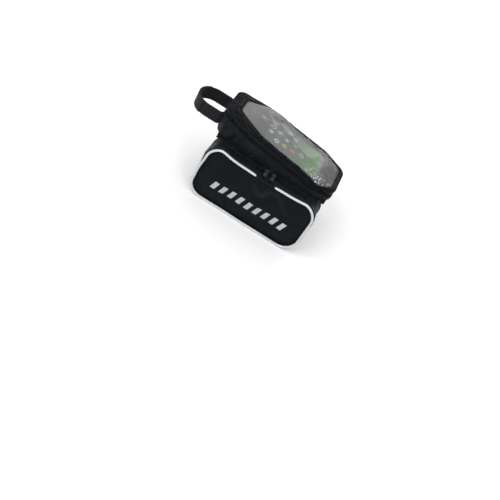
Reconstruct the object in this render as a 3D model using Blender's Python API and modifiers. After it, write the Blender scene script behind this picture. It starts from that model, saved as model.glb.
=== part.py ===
"""Top tube phone bag: two side panniers hung over a bicycle's top tube by a saddle
sheet, with a wedge-shaped phone pouch on top that has a clear window.

Metres, +Z up. +X points to the rear of the bicycle, +Y to its right-hand side.
The origin lies on the top line of the top tube, under the middle of the saddle sheet.
"""

import math

import bmesh
import bpy
from mathutils import Matrix, Vector

# Shared thicknesses and clearances
FABRIC = 0.0015
SEAM_GAP = 0.0003
RUNNING_GAP = 0.0003
WEBBING = 0.0015

# The tubes that the bag is made for
TOP_TUBE_DIAMETER = 0.040
HEAD_TUBE_DIAMETER = 0.046
TUBE_CLEARANCE = 0.0006

# Saddle sheet over the top tube
SADDLE_OVERHANG = 0.0005
SADDLE_THICKNESS = 0.002
SADDLE_DROP = 0.014
SADDLE_BEND = 0.007

# Panniers
PANNIER_LENGTH = 0.195
PANNIER_HEIGHT = 0.098
PANNIER_DEPTH = 0.0465
TOP_CORNER_RADIUS = 0.027
FRONT_FOOT_RADIUS = 0.026
REAR_FOOT_RADIUS = 0.030
FACE_CROWN = 0.004
FACE_CROWN_POWER = 2.5
FACE_RINGS = 5
PIPING_DIAMETER = 0.0044
PIPING_BREAK = (-0.013, 0.020)
BINDING_DIAMETER = 0.0030

# Phone pouch, in plan: a half-width and a corner radius at the front, at the two
# shoulders and at the rear
POUCH_FRONT = -0.104
POUCH_REAR = 0.101
POUCH_SHOULDERS = (-0.050, 0.062)
POUCH_HALF_WIDTH = 0.046
POUCH_FRONT_HALF_WIDTH = 0.031
POUCH_REAR_HALF_WIDTH = 0.033
POUCH_SHOULDER_RADII = (0.050, 0.040)
POUCH_END_RADIUS = 0.016

# Lid: a cloth border that slopes up from the zip to the window
LID_HEIGHT = 0.033
LID_SLOPE = 0.13
LID_THICKNESS = 0.0016
LID_BAND_HEIGHT = 0.003
LID_ARCH = 0.0035
POCKET_INSET = 0.0067
POCKET_FABRIC = 0.0012
PHONE_TOP_DEPTH = 0.0010

# Clear window in the lid, whose film bulges up from a seam round its edge
WINDOW_FRONT = -0.084
WINDOW_REAR = 0.093
WINDOW_FRONT_HALF_WIDTH = 0.0185
WINDOW_REAR_HALF_WIDTH = 0.0275
WINDOW_SHOULDERS = (-0.036, 0.060)
WINDOW_SHOULDER_HALF_WIDTHS = (0.038, 0.0415)
WINDOW_SHOULDER_RADII = (0.040, 0.035)
WINDOW_END_RADII = (0.010, 0.012)
FILM_THICKNESS = 0.0005
FILM_SEAM = 0.003
FILM_GAP = 0.0005
FILM_LAP = 0.0012
FILM_CROWN = 0.0100
FILM_CROWN_POWER = 4.5
FILM_RIDGE = (-0.022, 0.048)
FILM_RINGS = 7

# Phone in the pocket
PHONE_LENGTH = 0.138
PHONE_WIDTH = 0.068
PHONE_THICKNESS = 0.008
PHONE_CORNER = 0.009
PHONE_CENTRE_X = -0.003
PHONE_CHAMFER = 0.0009
CHAMFERED_ANGLE = math.radians(60)

# Zips: two rows of coil with a slot between them, in an opening of the fabric
ZIP_OPENING = 0.0076
COIL_RADIUS = 0.00105
COIL_PITCH = 0.004
COIL_WAIST = 0.70
SLOT_WIDTH = 0.0010
TAPE_WIDTH = 0.0035
TAPE_THICKNESS = 0.0008
PANNIER_ZIP_FROM_CORNER = 0.0025
PANNIER_ZIP_FROM_FACE = 0.017
PANNIER_ZIP_MEETING_X = 0.0035
POUCH_ZIP_FRONT_X = -0.085
POUCH_ZIP_MEETING_X = 0.010

# Sliders and their pulls
SLIDER_LENGTH = 0.012
SLIDER_PLATE = 0.0014
SLIDER_SHOULDER = 0.0034
SLIDER_SHOULDER_X = 0.0021
SLIDER_NOSE = 0.0027
SLIDER_TAIL = 0.0026
SLIDER_SHOULDER_RADIUS = 0.003
SLIDER_NOSE_RADIUS = 0.0014
SLIDER_TAIL_RADIUS = 0.0012
POST_WIDTH = 0.0004
POST_LENGTH = 0.004
POST_FROM_NOSE = 0.001
BRIDGE_RADIUS = 0.00055
BRIDGE_HEIGHT = 0.002
BRIDGE_SPAN = 0.0074
BRIDGE_BEND = 0.0008
PULL_LENGTH = 0.0135
PULL_WIDTH = 0.0048
PULL_THICKNESS = 0.0016
PULL_CHAMFER = 0.0005
PULL_TIP = 0.0022
PULL_EYE_CLEARANCE = 0.00035
PULL_EYE_STEP = math.radians(36)
PULL_EYE_END = 105
PULL_EYE_WEB = 0.0020
PULL_RIBS = 3
PULL_RIB_PITCH = 0.0018
PULL_RIB_HEIGHT = 0.0005
PULL_RIB_FLANK = 0.00045
PULL_RIB_CREST = 0.00065

# Straps
TUBE_STRAP_WIDTH = 0.025
TUBE_STRAP_X = (-0.055, 0.050)
TUBE_STRAP_TOP = -0.006
TUBE_STRAP_TAIL = (228, 336)
HEAD_STRAP_WIDTH = 0.022
HEAD_STRAP_FOOT = 0.008
HEAD_STRAP_BEND = 0.006
HEAD_STRAP_TAIL = (124, 247)

# How the model is drawn
ARC_STEP = math.radians(15)
STRAP_STEP = math.radians(12)
SHARP_ANGLE = math.radians(40)
WELD_DISTANCE = 1e-6
CUT_MARGIN = 0.01

# Levels and planes that several pieces share
TUBE_RADIUS = TOP_TUBE_DIAMETER / 2
STRAP_RADIUS = TUBE_RADIUS + TUBE_CLEARANCE
SADDLE_INSIDE = STRAP_RADIUS + WEBBING + SEAM_GAP
PANNIER_TOP = SADDLE_THICKNESS
PANNIER_BOTTOM = PANNIER_TOP - PANNIER_HEIGHT
PANNIER_BACK = SADDLE_INSIDE + SADDLE_THICKNESS + SEAM_GAP
PANNIER_FACE = PANNIER_BACK + PANNIER_DEPTH
PANNIER_ZIP_LENGTH = PANNIER_LENGTH - 2 * (TOP_CORNER_RADIUS + PANNIER_ZIP_FROM_CORNER)
SADDLE_LENGTH = PANNIER_LENGTH + 2 * SADDLE_OVERHANG
GUSSET_FRONT_EDGE = PANNIER_FACE - PIPING_DIAMETER / 2 - SEAM_GAP
FLOOR_BOTTOM = PANNIER_TOP + SEAM_GAP
FLOOR_TOP = FLOOR_BOTTOM + FABRIC
COIL_DEPTH = FABRIC + SEAM_GAP + TAPE_THICKNESS / 2
COIL_OFFSET = SLOT_WIDTH / 2 + COIL_RADIUS
TAPE_START = COIL_OFFSET + COIL_RADIUS + SEAM_GAP
PLATE_LEVEL = COIL_RADIUS + RUNNING_GAP
BRIDGE_LEVEL = PLATE_LEVEL + SLIDER_PLATE + BRIDGE_HEIGHT
LID_ANGLE = math.atan(LID_SLOPE)
LID_FRAME = Matrix.Translation((0, 0, LID_HEIGHT)) @ Matrix.Rotation(LID_ANGLE, 4, "Y")
LID_NORMAL = LID_FRAME.to_3x3() @ Vector((0, 0, 1))
PANNIER_ZIP_Y = PANNIER_FACE - PANNIER_ZIP_FROM_FACE


def clear_scene():
    for obj in list(bpy.data.objects):
        bpy.data.objects.remove(obj, do_unlink=True)


def new_collection(name):
    collection = bpy.data.collections.new(name)
    bpy.context.scene.collection.children.link(collection)
    return collection


def new_material(name, colour, roughness, metallic=0.0, alpha=1.0):
    material = bpy.data.materials.new(name)
    material.use_nodes = True
    shader = material.node_tree.nodes["Principled BSDF"]
    shader.inputs["Base Color"].default_value = (*colour, 1.0)
    shader.inputs["Roughness"].default_value = roughness
    shader.inputs["Metallic"].default_value = metallic
    shader.inputs["Alpha"].default_value = alpha
    return material


clear_scene()
PARTS = new_collection("top_tube_phone_bag")
CUTTERS = new_collection("cutters")
POLYESTER = new_material("black_polyester", (0.022, 0.026, 0.034), 0.62)
BACKING = new_material("backing_cloth", (0.030, 0.031, 0.034), 0.85)
SILVER_PIPING = new_material("reflective_piping", (0.62, 0.63, 0.66), 0.35)
WEBBING_TAPE = new_material("hook_and_loop_webbing", (0.018, 0.018, 0.020), 0.90)
ZIP_NYLON = new_material("zip_nylon", (0.020, 0.020, 0.022), 0.45)
SLIDER_METAL = new_material("enamelled_zinc", (0.030, 0.030, 0.032), 0.35, metallic=0.6)
PULL_RUBBER = new_material("soft_pvc", (0.022, 0.022, 0.024), 0.55)
CLEAR_FILM = new_material("clear_pvc_film", (0.70, 0.72, 0.72), 0.15, alpha=0.35)
PHONE_GLASS = new_material("phone_glass", (0.05, 0.06, 0.06), 0.12)


def add(name, data, material, matrix=None, parent=None):
    obj = bpy.data.objects.new(name, data)
    PARTS.objects.link(obj)
    if not data.materials:
        data.materials.append(material)
    if matrix is not None:
        obj.matrix_world = matrix
    if parent is not None:
        obj.parent = parent
        obj.matrix_parent_inverse = parent.matrix_world.inverted()
    return obj


def arc(centre, radius, start, end, step=ARC_STEP):
    """Points on an arc in a plane, between two angles in degrees."""
    count = max(1, round(abs(math.radians(end - start)) / step))
    points = []
    for index in range(count + 1):
        angle = math.radians(start + (end - start) * index / count)
        points.append(Vector(centre) + radius * Vector((math.cos(angle), math.sin(angle))))
    return points


def rounded_outline(corners):
    """(point, outward normal) along a counter-clockwise polygon of (x, y, radius) corners."""
    outline = []
    for index, (x, y, radius) in enumerate(corners):
        corner = Vector((x, y))
        before = Vector(corners[index - 1][:2])
        after = Vector(corners[(index + 1) % len(corners)][:2])
        arriving = (corner - before).normalized()
        leaving = (after - corner).normalized()
        turn = arriving.angle(leaving)
        first_normal = Vector((arriving.y, -arriving.x))
        start = corner - arriving * radius * math.tan(turn / 2)
        centre = start - first_normal * radius
        steps = max(2, math.ceil(turn / ARC_STEP))
        for step in range(steps + 1):
            angle = turn * step / steps
            normal = Matrix.Rotation(angle, 2) @ first_normal
            outline.append((centre + normal * radius, normal))
    return outline


def inset(outline, distance):
    return [point - normal * distance for point, normal in outline]


def mirrored_corners(half):
    """Closes a list of left-hand corners, front to rear, with their right-hand images."""
    return half + [(x, -y, radius) for x, y, radius in reversed(half)]


def pouch_outline():
    return rounded_outline(
        mirrored_corners(
            [
                (POUCH_FRONT, -POUCH_FRONT_HALF_WIDTH, POUCH_END_RADIUS),
                (POUCH_SHOULDERS[0], -POUCH_HALF_WIDTH, POUCH_SHOULDER_RADII[0]),
                (POUCH_SHOULDERS[1], -POUCH_HALF_WIDTH, POUCH_SHOULDER_RADII[1]),
                (POUCH_REAR, -POUCH_REAR_HALF_WIDTH, POUCH_END_RADIUS),
            ]
        )
    )


def window_outline():
    front_shoulder, rear_shoulder = WINDOW_SHOULDER_HALF_WIDTHS
    return rounded_outline(
        mirrored_corners(
            [
                (WINDOW_FRONT, -WINDOW_FRONT_HALF_WIDTH, WINDOW_END_RADII[0]),
                (WINDOW_SHOULDERS[0], -front_shoulder, WINDOW_SHOULDER_RADII[0]),
                (WINDOW_SHOULDERS[1], -rear_shoulder, WINDOW_SHOULDER_RADII[1]),
                (WINDOW_REAR, -WINDOW_REAR_HALF_WIDTH, WINDOW_END_RADII[1]),
            ]
        )
    )


def pannier_outline():
    """Outline in X and Z, counter-clockwise seen from the bicycle's left."""
    end = PANNIER_LENGTH / 2
    return rounded_outline(
        [
            (-end, PANNIER_BOTTOM, FRONT_FOOT_RADIUS),
            (end, PANNIER_BOTTOM, REAR_FOOT_RADIUS),
            (end, PANNIER_TOP, TOP_CORNER_RADIUS),
            (-end, PANNIER_TOP, TOP_CORNER_RADIUS),
        ]
    )


def lid_top(x):
    return LID_HEIGHT - LID_SLOPE * x


def zip_level(x):
    """Height of the middle of the pouch's zip."""
    return lid_top(x) - LID_THICKNESS - SEAM_GAP - LID_BAND_HEIGHT - ZIP_OPENING / 2


def in_lid_plane(point, height=0.0):
    """A point of the plan, laid on the sloping lid plane at a height over it."""
    return LID_FRAME @ Vector((point.x / math.cos(LID_ANGLE), point.y, height))


def height_over_lid(point):
    return (point - LID_FRAME.translation).dot(LID_NORMAL)


def surface(name, rows, closed=False, filled=False):
    """Quads between rows of points; the last row may be filled with one face."""
    mesh = bpy.data.meshes.new(name)
    build = bmesh.new()
    grid = [[build.verts.new(point) for point in row] for row in rows]
    for lower, upper in zip(grid, grid[1:]):
        count = len(lower)
        for index in range(count if closed else count - 1):
            after = (index + 1) % count
            build.faces.new((lower[index], lower[after], upper[after], upper[index]))
    if filled:
        build.faces.new(grid[-1])
    bmesh.ops.recalc_face_normals(build, faces=build.faces)
    build.to_mesh(mesh)
    build.free()
    mesh.shade_smooth()
    mesh.set_sharp_from_angle(angle=SHARP_ANGLE)
    return mesh


def sheet(name, rows, thickness, material, closed=False, filled=False):
    """A fabric piece: an open surface through its middle, thickened both ways."""
    obj = add(name, surface(name, rows, closed, filled), material)
    solidify = obj.modifiers.new("thickness", "SOLIDIFY")
    solidify.thickness = thickness
    solidify.offset = 0
    solidify.use_even_offset = True
    return obj


def wall_along(name, path, low, high, thickness, material, closed=False):
    """An upright band over a path in plan, between two heights given as functions of x."""
    rows = [[Vector((p.x, p.y, level(p.x))) for p in path] for level in (low, high)]
    return sheet(name, rows, thickness, material, closed=closed)


def flat_curve(name, outlines, thickness):
    """A 2D curve of closed outlines, filled and extruded to a thickness."""
    curve = bpy.data.curves.new(name, "CURVE")
    curve.dimensions = "2D"
    curve.fill_mode = "BOTH"
    curve.extrude = thickness / 2
    for points in outlines:
        spline = curve.splines.new("POLY")
        spline.points.add(len(points) - 1)
        for target, point in zip(spline.points, points):
            target.co = (point.x, point.y, 0, 1)
        spline.use_cyclic_u = True
    return curve


def tube_curve(name, points, radius, shares=None, resolution=2, closed=False):
    """A round wire through points; shares scale its radius at each of them."""
    curve = bpy.data.curves.new(name, "CURVE")
    curve.dimensions = "3D"
    curve.bevel_depth = radius
    curve.bevel_resolution = resolution
    curve.use_fill_caps = True
    spline = curve.splines.new("POLY")
    spline.points.add(len(points) - 1)
    for index, (target, point) in enumerate(zip(spline.points, points)):
        target.co = (*point, 1)
        target.radius = shares[index] if shares else 1.0
    spline.use_cyclic_u = closed
    return curve


def solid_mesh(curve, matrix=None):
    """The welded mesh of a curve, moved by a matrix, with the curve removed."""
    holder = bpy.data.objects.new("holder", curve)
    bpy.context.scene.collection.objects.link(holder)
    graph = bpy.context.evaluated_depsgraph_get()
    mesh = bpy.data.meshes.new_from_object(holder.evaluated_get(graph))
    bpy.data.objects.remove(holder, do_unlink=True)
    bpy.data.curves.remove(curve)
    if matrix is not None:
        mesh.transform(matrix)
    build = bmesh.new()
    build.from_mesh(mesh)
    bmesh.ops.remove_doubles(build, verts=build.verts, dist=WELD_DISTANCE)
    bmesh.ops.recalc_face_normals(build, faces=build.faces)
    build.to_mesh(mesh)
    build.free()
    return mesh


def box_mesh(name, low, high):
    """A box between two corners."""
    mesh = bpy.data.meshes.new(name)
    build = bmesh.new()
    size = Vector(high) - Vector(low)
    middle = (Vector(high) + Vector(low)) / 2
    bmesh.ops.create_cube(build, size=1, matrix=Matrix.LocRotScale(middle, None, size))
    build.to_mesh(mesh)
    build.free()
    return mesh


def united(name, meshes):
    """One mesh from overlapping ones, by Boolean union."""
    base = bpy.data.objects.new(name, meshes[0])
    bpy.context.scene.collection.objects.link(base)
    others = []
    for mesh in meshes[1:]:
        other = bpy.data.objects.new(mesh.name, mesh)
        bpy.context.scene.collection.objects.link(other)
        union = base.modifiers.new("union", "BOOLEAN")
        union.operation = "UNION"
        union.object = other
        others.append(other)
    bpy.context.view_layer.update()
    graph = bpy.context.evaluated_depsgraph_get()
    result = bpy.data.meshes.new_from_object(base.evaluated_get(graph))
    for obj in [base, *others]:
        bpy.data.objects.remove(obj, do_unlink=True)
    result.name = name
    result.materials.clear()
    return result


def cut(obj, low, high):
    """Cuts a box out of an object."""
    cutter = bpy.data.objects.new(obj.name + "_cutter", box_mesh("cutter", low, high))
    CUTTERS.objects.link(cutter)
    cutter.hide_render = True
    cutter.display_type = "WIRE"
    difference = obj.modifiers.new("opening", "BOOLEAN")
    difference.operation = "DIFFERENCE"
    difference.object = cutter


def resampled(path, spacing):
    """Points at an even spacing along a polyline."""
    lengths = [(after - before).length for before, after in zip(path, path[1:])]
    total = sum(lengths)
    count = max(2, round(total / spacing))
    points = []
    segment = 0
    passed = 0.0
    for index in range(count + 1):
        target = total * index / count
        while segment < len(lengths) - 1 and passed + lengths[segment] < target:
            passed += lengths[segment]
            segment += 1
        share = (target - passed) / lengths[segment]
        points.append(path[segment].lerp(path[segment + 1], min(share, 1.0)))
    return points


def frame_of(origin, along, outward):
    """A matrix whose X runs along, whose Z points outward, and whose origin is given."""
    z = Vector(outward).normalized()
    x = Vector(along).normalized()
    y = z.cross(x)
    rotation = Matrix((x, y, z)).transposed()
    return Matrix.Translation(origin) @ rotation.to_4x4()


def build_saddle():
    """The sheet over the tube: a flat top with the two sides turned down."""
    half = SADDLE_LENGTH / 2
    side = SADDLE_INSIDE + SADDLE_THICKNESS / 2
    top = SADDLE_THICKNESS / 2
    bend = arc((-side + SADDLE_BEND, top - SADDLE_BEND), SADDLE_BEND, 180, 90)
    profile = [Vector((-side, -SADDLE_DROP)), *bend]
    profile += [Vector((-point.x, point.y)) for point in reversed(profile)]
    rows = [[Vector((x, p.x, p.y)) for p in profile] for x in (-half, half)]
    return sheet("saddle_sheet", rows, SADDLE_THICKNESS, POLYESTER)


def tube_strap(name, x, points):
    """A strap whose profile across the bicycle is a row of points."""
    rows = [
        [Vector((x + side * TUBE_STRAP_WIDTH / 2, p.x, p.y)) for p in points] for side in (-1, 1)
    ]
    return sheet(name, rows, WEBBING, WEBBING_TAPE)


def build_straps():
    """Two loops of webbing that hang from the saddle round the tube, and their tails."""
    middle = STRAP_RADIUS + WEBBING / 2
    loop = [
        Vector((-middle, TUBE_STRAP_TOP)),
        *arc((0, -TUBE_RADIUS), middle, 180, 360, STRAP_STEP),
        Vector((middle, TUBE_STRAP_TOP)),
    ]
    tail = arc((0, -TUBE_RADIUS), middle + WEBBING + SEAM_GAP, *TUBE_STRAP_TAIL, STRAP_STEP)
    for place, x in zip(("front", "rear"), TUBE_STRAP_X):
        tube_strap(f"{place}_tube_strap", x, loop)
        tube_strap(f"{place}_tube_strap_tail", x, tail)


def build_head_strap():
    """A D-shaped loop, flat against the pouch's front and round about the head tube."""
    inner = HEAD_TUBE_DIAMETER / 2 + TUBE_CLEARANCE
    centre = (POUCH_FRONT - SEAM_GAP - WEBBING - inner, 0)
    middle = inner + WEBBING / 2
    back = POUCH_FRONT - SEAM_GAP - WEBBING / 2
    bend_centre = (back - HEAD_STRAP_BEND, middle - HEAD_STRAP_BEND)
    bend = arc(bend_centre, HEAD_STRAP_BEND, 0, 90)
    mirrored_bend = [Vector((p.x, -p.y)) for p in reversed(bend)]
    loop = arc(centre, middle, 90, 270, STRAP_STEP) + mirrored_bend + bend
    tail = arc(centre, middle + WEBBING + SEAM_GAP, *HEAD_STRAP_TAIL, STRAP_STEP)
    foot = HEAD_STRAP_FOOT
    head = HEAD_STRAP_FOOT + HEAD_STRAP_WIDTH
    for name, path in (("head_tube_strap", loop), ("head_tube_strap_tail", tail)):
        wall_along(
            name,
            path,
            lambda x: foot,
            lambda x: head,
            WEBBING,
            WEBBING_TAPE,
            closed=path is loop,
        )


def build_pouch():
    outline = pouch_outline()
    floor = flat_curve("pouch_floor", [inset(outline, 0)], FABRIC)
    add(
        "pouch_floor", floor, POLYESTER, Matrix.Translation((0, 0, FLOOR_BOTTOM + FABRIC / 2))
    )
    middle = inset(outline, FABRIC / 2)
    wall_along(
        "pouch_wall",
        middle,
        lambda x: FLOOR_TOP + SEAM_GAP,
        lambda x: zip_level(x) - ZIP_OPENING / 2,
        FABRIC,
        POLYESTER,
        closed=True,
    )
    wall_along(
        "lid_band",
        middle,
        lambda x: zip_level(x) + ZIP_OPENING / 2,
        lambda x: zip_level(x) + ZIP_OPENING / 2 + LID_BAND_HEIGHT,
        FABRIC,
        POLYESTER,
        closed=True,
    )
    hinge_end = POUCH_ZIP_FRONT_X - SEAM_GAP
    hinge_path = stretch(
        front_first(inset(outline, FABRIC * 1.5 + SEAM_GAP)), lambda x: x < hinge_end, hinge_end
    )
    hinge_reach = ZIP_OPENING / 2 + LID_BAND_HEIGHT - SEAM_GAP
    wall_along(
        "lid_hinge",
        hinge_path,
        lambda x: zip_level(x) - hinge_reach,
        lambda x: zip_level(x) + hinge_reach,
        FABRIC,
        BACKING,
    )


def front_first(points):
    """The same closed path, cut open at the rear so that the front stretch is in one run."""
    rear = max(range(len(points)), key=lambda index: points[index].x)
    return points[rear:] + points[:rear]


def stretch(path, inside, limit):
    """The run of a path whose x is inside, cut off cleanly where x reaches the limit."""
    kept = []
    for before, after in zip(path, path[1:]):
        if inside(before.x):
            kept.append(before)
        if inside(before.x) != inside(after.x):
            kept.append(before.lerp(after, (limit - before.x) / (after.x - before.x)))
    return kept


def border_ring(distance, depth, from_window=False):
    """A ring of points on the sloping border, at a distance in from its outer edge or out
    from the window, and at a depth under the border's middle. It runs on level inside the
    window."""
    ring = []
    for (edge, normal), (rim, _) in zip(pouch_outline(), window_outline()):
        across = rim - edge
        width = -across.dot(normal)
        share = 1 - distance / width if from_window else distance / width
        slope = LID_ARCH / across.length
        down = depth / math.sqrt(1 + slope**2)
        point = edge + across * share + across.normalized() * slope * down
        height = LID_ARCH * min(share, 1) - LID_THICKNESS / 2 - down
        ring.append(in_lid_plane(point, height))
    return ring


def build_lid():
    """The black border, the clear film in it, and the pocket that holds the phone."""
    rows = [border_ring(0, 0), border_ring(0, 0, from_window=True)]
    sheet("lid_border", rows, LID_THICKNESS, POLYESTER, closed=True)
    film_depth = (LID_THICKNESS + FILM_THICKNESS) / 2 + FILM_GAP
    rows = [
        border_ring(FILM_SEAM, film_depth, from_window=True),
        border_ring(0, film_depth, from_window=True),
    ]
    edge = inset(window_outline(), FILM_LAP)
    edge_height = LID_ARCH - LID_THICKNESS / 2 - film_depth
    for index in range(FILM_RINGS):
        share = (index / FILM_RINGS) ** 2
        height = edge_height + FILM_CROWN * (1 - (1 - share) ** FILM_CROWN_POWER)
        ring = []
        for p in edge:
            inner = Vector((min(max(p.x, FILM_RIDGE[0]), FILM_RIDGE[1]), 0))
            ring.append(in_lid_plane(p.lerp(inner, share), height))
        rows.append(ring)
    sheet("window_film", rows, FILM_THICKNESS, CLEAR_FILM, closed=True, filled=True)
    rim_depth = film_depth + (FILM_THICKNESS + POCKET_FABRIC / 2) / 2 + SEAM_GAP
    rim = border_ring(POCKET_INSET, rim_depth)
    phone_height = -PHONE_TOP_DEPTH - PHONE_THICKNESS / 2
    base_height = phone_height - PHONE_THICKNESS / 2 - SEAM_GAP - POCKET_FABRIC / 2
    base = [point + LID_NORMAL * (base_height - height_over_lid(point)) for point in rim]
    sheet("phone_pocket", [rim, base], POCKET_FABRIC, BACKING, closed=True, filled=True)
    build_phone(phone_height)


def build_phone(height):
    half_length = PHONE_LENGTH / 2
    half_width = PHONE_WIDTH / 2
    outline = rounded_outline(
        [
            (-half_length, -half_width, PHONE_CORNER),
            (half_length, -half_width, PHONE_CORNER),
            (half_length, half_width, PHONE_CORNER),
            (-half_length, half_width, PHONE_CORNER),
        ]
    )
    place = LID_FRAME @ Matrix.Translation((PHONE_CENTRE_X, 0, height))
    body = solid_mesh(flat_curve("phone", [inset(outline, 0)], PHONE_THICKNESS))
    phone = add("phone", body, PHONE_GLASS, place)
    edges = phone.modifiers.new("edges", "BEVEL")
    edges.width = PHONE_CHAMFER
    edges.segments = 1
    edges.limit_method = "ANGLE"
    edges.angle_limit = CHAMFERED_ANGLE


def coil(name, path):
    """A zip's coil, its turns drawn as a bead for each pitch."""
    points = resampled(path, COIL_PITCH / 2)
    shares = [1.0 if index % 2 else COIL_WAIST for index in range(len(points))]
    curve = tube_curve(name, points, COIL_RADIUS, shares, resolution=0)
    return add(name, curve, ZIP_NYLON)


def slider_mesh():
    """Two heart-shaped plates joined by a thin post at the nose, with a bridge on top.

    The nose points to +X, the coils lie at the height 0, and +Z is the outer side.
    """
    half = SLIDER_LENGTH / 2
    outline = rounded_outline(
        [
            (-half, -SLIDER_TAIL, SLIDER_TAIL_RADIUS),
            (SLIDER_SHOULDER_X, -SLIDER_SHOULDER, SLIDER_SHOULDER_RADIUS),
            (half, -SLIDER_NOSE, SLIDER_NOSE_RADIUS),
            (half, SLIDER_NOSE, SLIDER_NOSE_RADIUS),
            (SLIDER_SHOULDER_X, SLIDER_SHOULDER, SLIDER_SHOULDER_RADIUS),
            (-half, SLIDER_TAIL, SLIDER_TAIL_RADIUS),
        ]
    )
    pieces = []
    for side in (1, -1):
        level = side * (PLATE_LEVEL + SLIDER_PLATE / 2)
        plate = flat_curve("plate", [inset(outline, 0)], SLIDER_PLATE)
        pieces.append(solid_mesh(plate, Matrix.Translation((0, 0, level))))
    reach = PLATE_LEVEL + SLIDER_PLATE / 2
    nose = half - POST_FROM_NOSE
    pieces.append(
        box_mesh("post", (nose - POST_LENGTH, -POST_WIDTH / 2, -reach), (nose, POST_WIDTH / 2, reach))
    )
    foot = BRIDGE_SPAN / 2
    bend = BRIDGE_BEND
    arch = [
        (-foot, 0, reach),
        (-foot, 0, BRIDGE_LEVEL - bend),
        (-foot + bend, 0, BRIDGE_LEVEL),
        (foot - bend, 0, BRIDGE_LEVEL),
        (foot, 0, BRIDGE_LEVEL - bend),
        (foot, 0, reach),
    ]
    pieces.append(solid_mesh(tube_curve("bridge", arch, BRIDGE_RADIUS, resolution=1)))
    return united("slider", pieces)


def pull_mesh():
    """A moulded pull: an eye round the bridge and a ribbed tail towards +Y, lying flat."""
    inner = BRIDGE_RADIUS + PULL_EYE_CLEARANCE
    outer = BRIDGE_HEIGHT - RUNNING_GAP
    foot = -outer
    head = foot + PULL_THICKNESS
    outline = arc((0, 0), outer, -90, PULL_EYE_END - 360, PULL_EYE_STEP / 2)
    outline.append(Vector((PULL_EYE_WEB, head + PULL_RIB_HEIGHT)))
    for index in range(PULL_RIBS):
        start = PULL_LENGTH - PULL_TIP - PULL_RIB_PITCH * (PULL_RIBS - index)
        crest = start + PULL_RIB_FLANK
        outline += [
            Vector((start, head)),
            Vector((crest, head + PULL_RIB_HEIGHT)),
            Vector((crest + PULL_RIB_CREST, head + PULL_RIB_HEIGHT)),
            Vector((crest + PULL_RIB_CREST + PULL_RIB_FLANK, head)),
        ]
    outline += [
        Vector((PULL_LENGTH - PULL_CHAMFER, head)),
        Vector((PULL_LENGTH, head - PULL_CHAMFER)),
        Vector((PULL_LENGTH, foot + PULL_CHAMFER)),
        Vector((PULL_LENGTH - PULL_CHAMFER, foot)),
    ]
    eye = arc((0, 0), inner, 0, 360, PULL_EYE_STEP)[:-1]
    turned = Matrix(((0, 0, 1, 0), (1, 0, 0, 0), (0, 1, 0, 0), (0, 0, 0, 1)))
    return solid_mesh(flat_curve("pull", [outline, eye], PULL_WIDTH), turned)


def slider_and_pull(names, shapes, centre, nose, side, outward):
    """Places a slider, and its pull with its tail towards side, parented to it."""
    slider = add(names[0], shapes[0], SLIDER_METAL, frame_of(centre, nose, outward))
    hinge = Vector(centre) + Vector(outward) * BRIDGE_LEVEL
    along = Vector(side).cross(Vector(outward))
    bpy.context.view_layer.update()
    add(names[1], shapes[1], PULL_RUBBER, frame_of(hinge, along, outward), slider)


def build_pouch_zip(shapes):
    tape_path = stretch(
        inset(pouch_outline(), COIL_DEPTH), lambda x: x > POUCH_ZIP_FRONT_X, POUCH_ZIP_FRONT_X
    )
    for place, sign in (("lower", -1), ("upper", 1)):
        near = TAPE_START * sign
        far = (TAPE_START + TAPE_WIDTH) * sign
        wall_along(
            f"pouch_zip_tape_{place}",
            tape_path,
            lambda x, near=near: zip_level(x) + near,
            lambda x, far=far: zip_level(x) + far,
            TAPE_THICKNESS,
            BACKING,
        )
        path = [Vector((p.x, p.y, zip_level(p.x) + COIL_OFFSET * sign)) for p in tape_path]
        coil(f"pouch_zip_coil_{place}", path)
    slope = Vector((math.cos(LID_ANGLE), 0, -math.sin(LID_ANGLE)))
    down = Vector((-math.sin(LID_ANGLE), 0, -math.cos(LID_ANGLE)))
    middle = Vector(
        (
            POUCH_ZIP_MEETING_X,
            POUCH_HALF_WIDTH - COIL_DEPTH,
            zip_level(POUCH_ZIP_MEETING_X),
        )
    )
    step = (SLIDER_LENGTH + RUNNING_GAP) / 2
    for place, sign in (("front", -1), ("rear", 1)):
        slider_and_pull(
            (f"pouch_slider_{place}", f"pouch_pull_{place}"),
            shapes,
            middle + slope * step * sign,
            slope * -sign,
            down,
            Vector((0, 1, 0)),
        )


def build_pannier(side_name, side, shapes):
    """One pannier; side is -1 for the bicycle's left and 1 for its right."""
    outline = pannier_outline()

    def placed(points, depth):
        return [Vector((p.x, side * depth, p.y)) for p in points]

    back = flat_curve(f"{side_name}_back_panel", [inset(outline, 0)], FABRIC)
    upright = Matrix.Rotation(math.radians(90), 4, "X")
    add(
        f"{side_name}_back_panel",
        back,
        BACKING,
        Matrix.Translation((0, side * (PANNIER_BACK + FABRIC / 2), 0)) @ upright,
    )
    middle = inset(outline, FABRIC / 2)
    rows = [
        placed(middle, PANNIER_BACK + FABRIC + SEAM_GAP),
        placed(middle, GUSSET_FRONT_EDGE),
    ]
    gusset = sheet(f"{side_name}_gusset", rows, FABRIC, POLYESTER, closed=True)
    half_zip = PANNIER_ZIP_LENGTH / 2
    opening = (
        side * PANNIER_ZIP_Y - ZIP_OPENING / 2,
        side * PANNIER_ZIP_Y + ZIP_OPENING / 2,
    )
    cut(
        gusset,
        (-half_zip, opening[0], PANNIER_TOP - CUT_MARGIN),
        (half_zip, opening[1], PANNIER_TOP + CUT_MARGIN),
    )
    build_face(side_name, outline, placed)
    build_pannier_zip(side_name, side, shapes)


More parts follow.
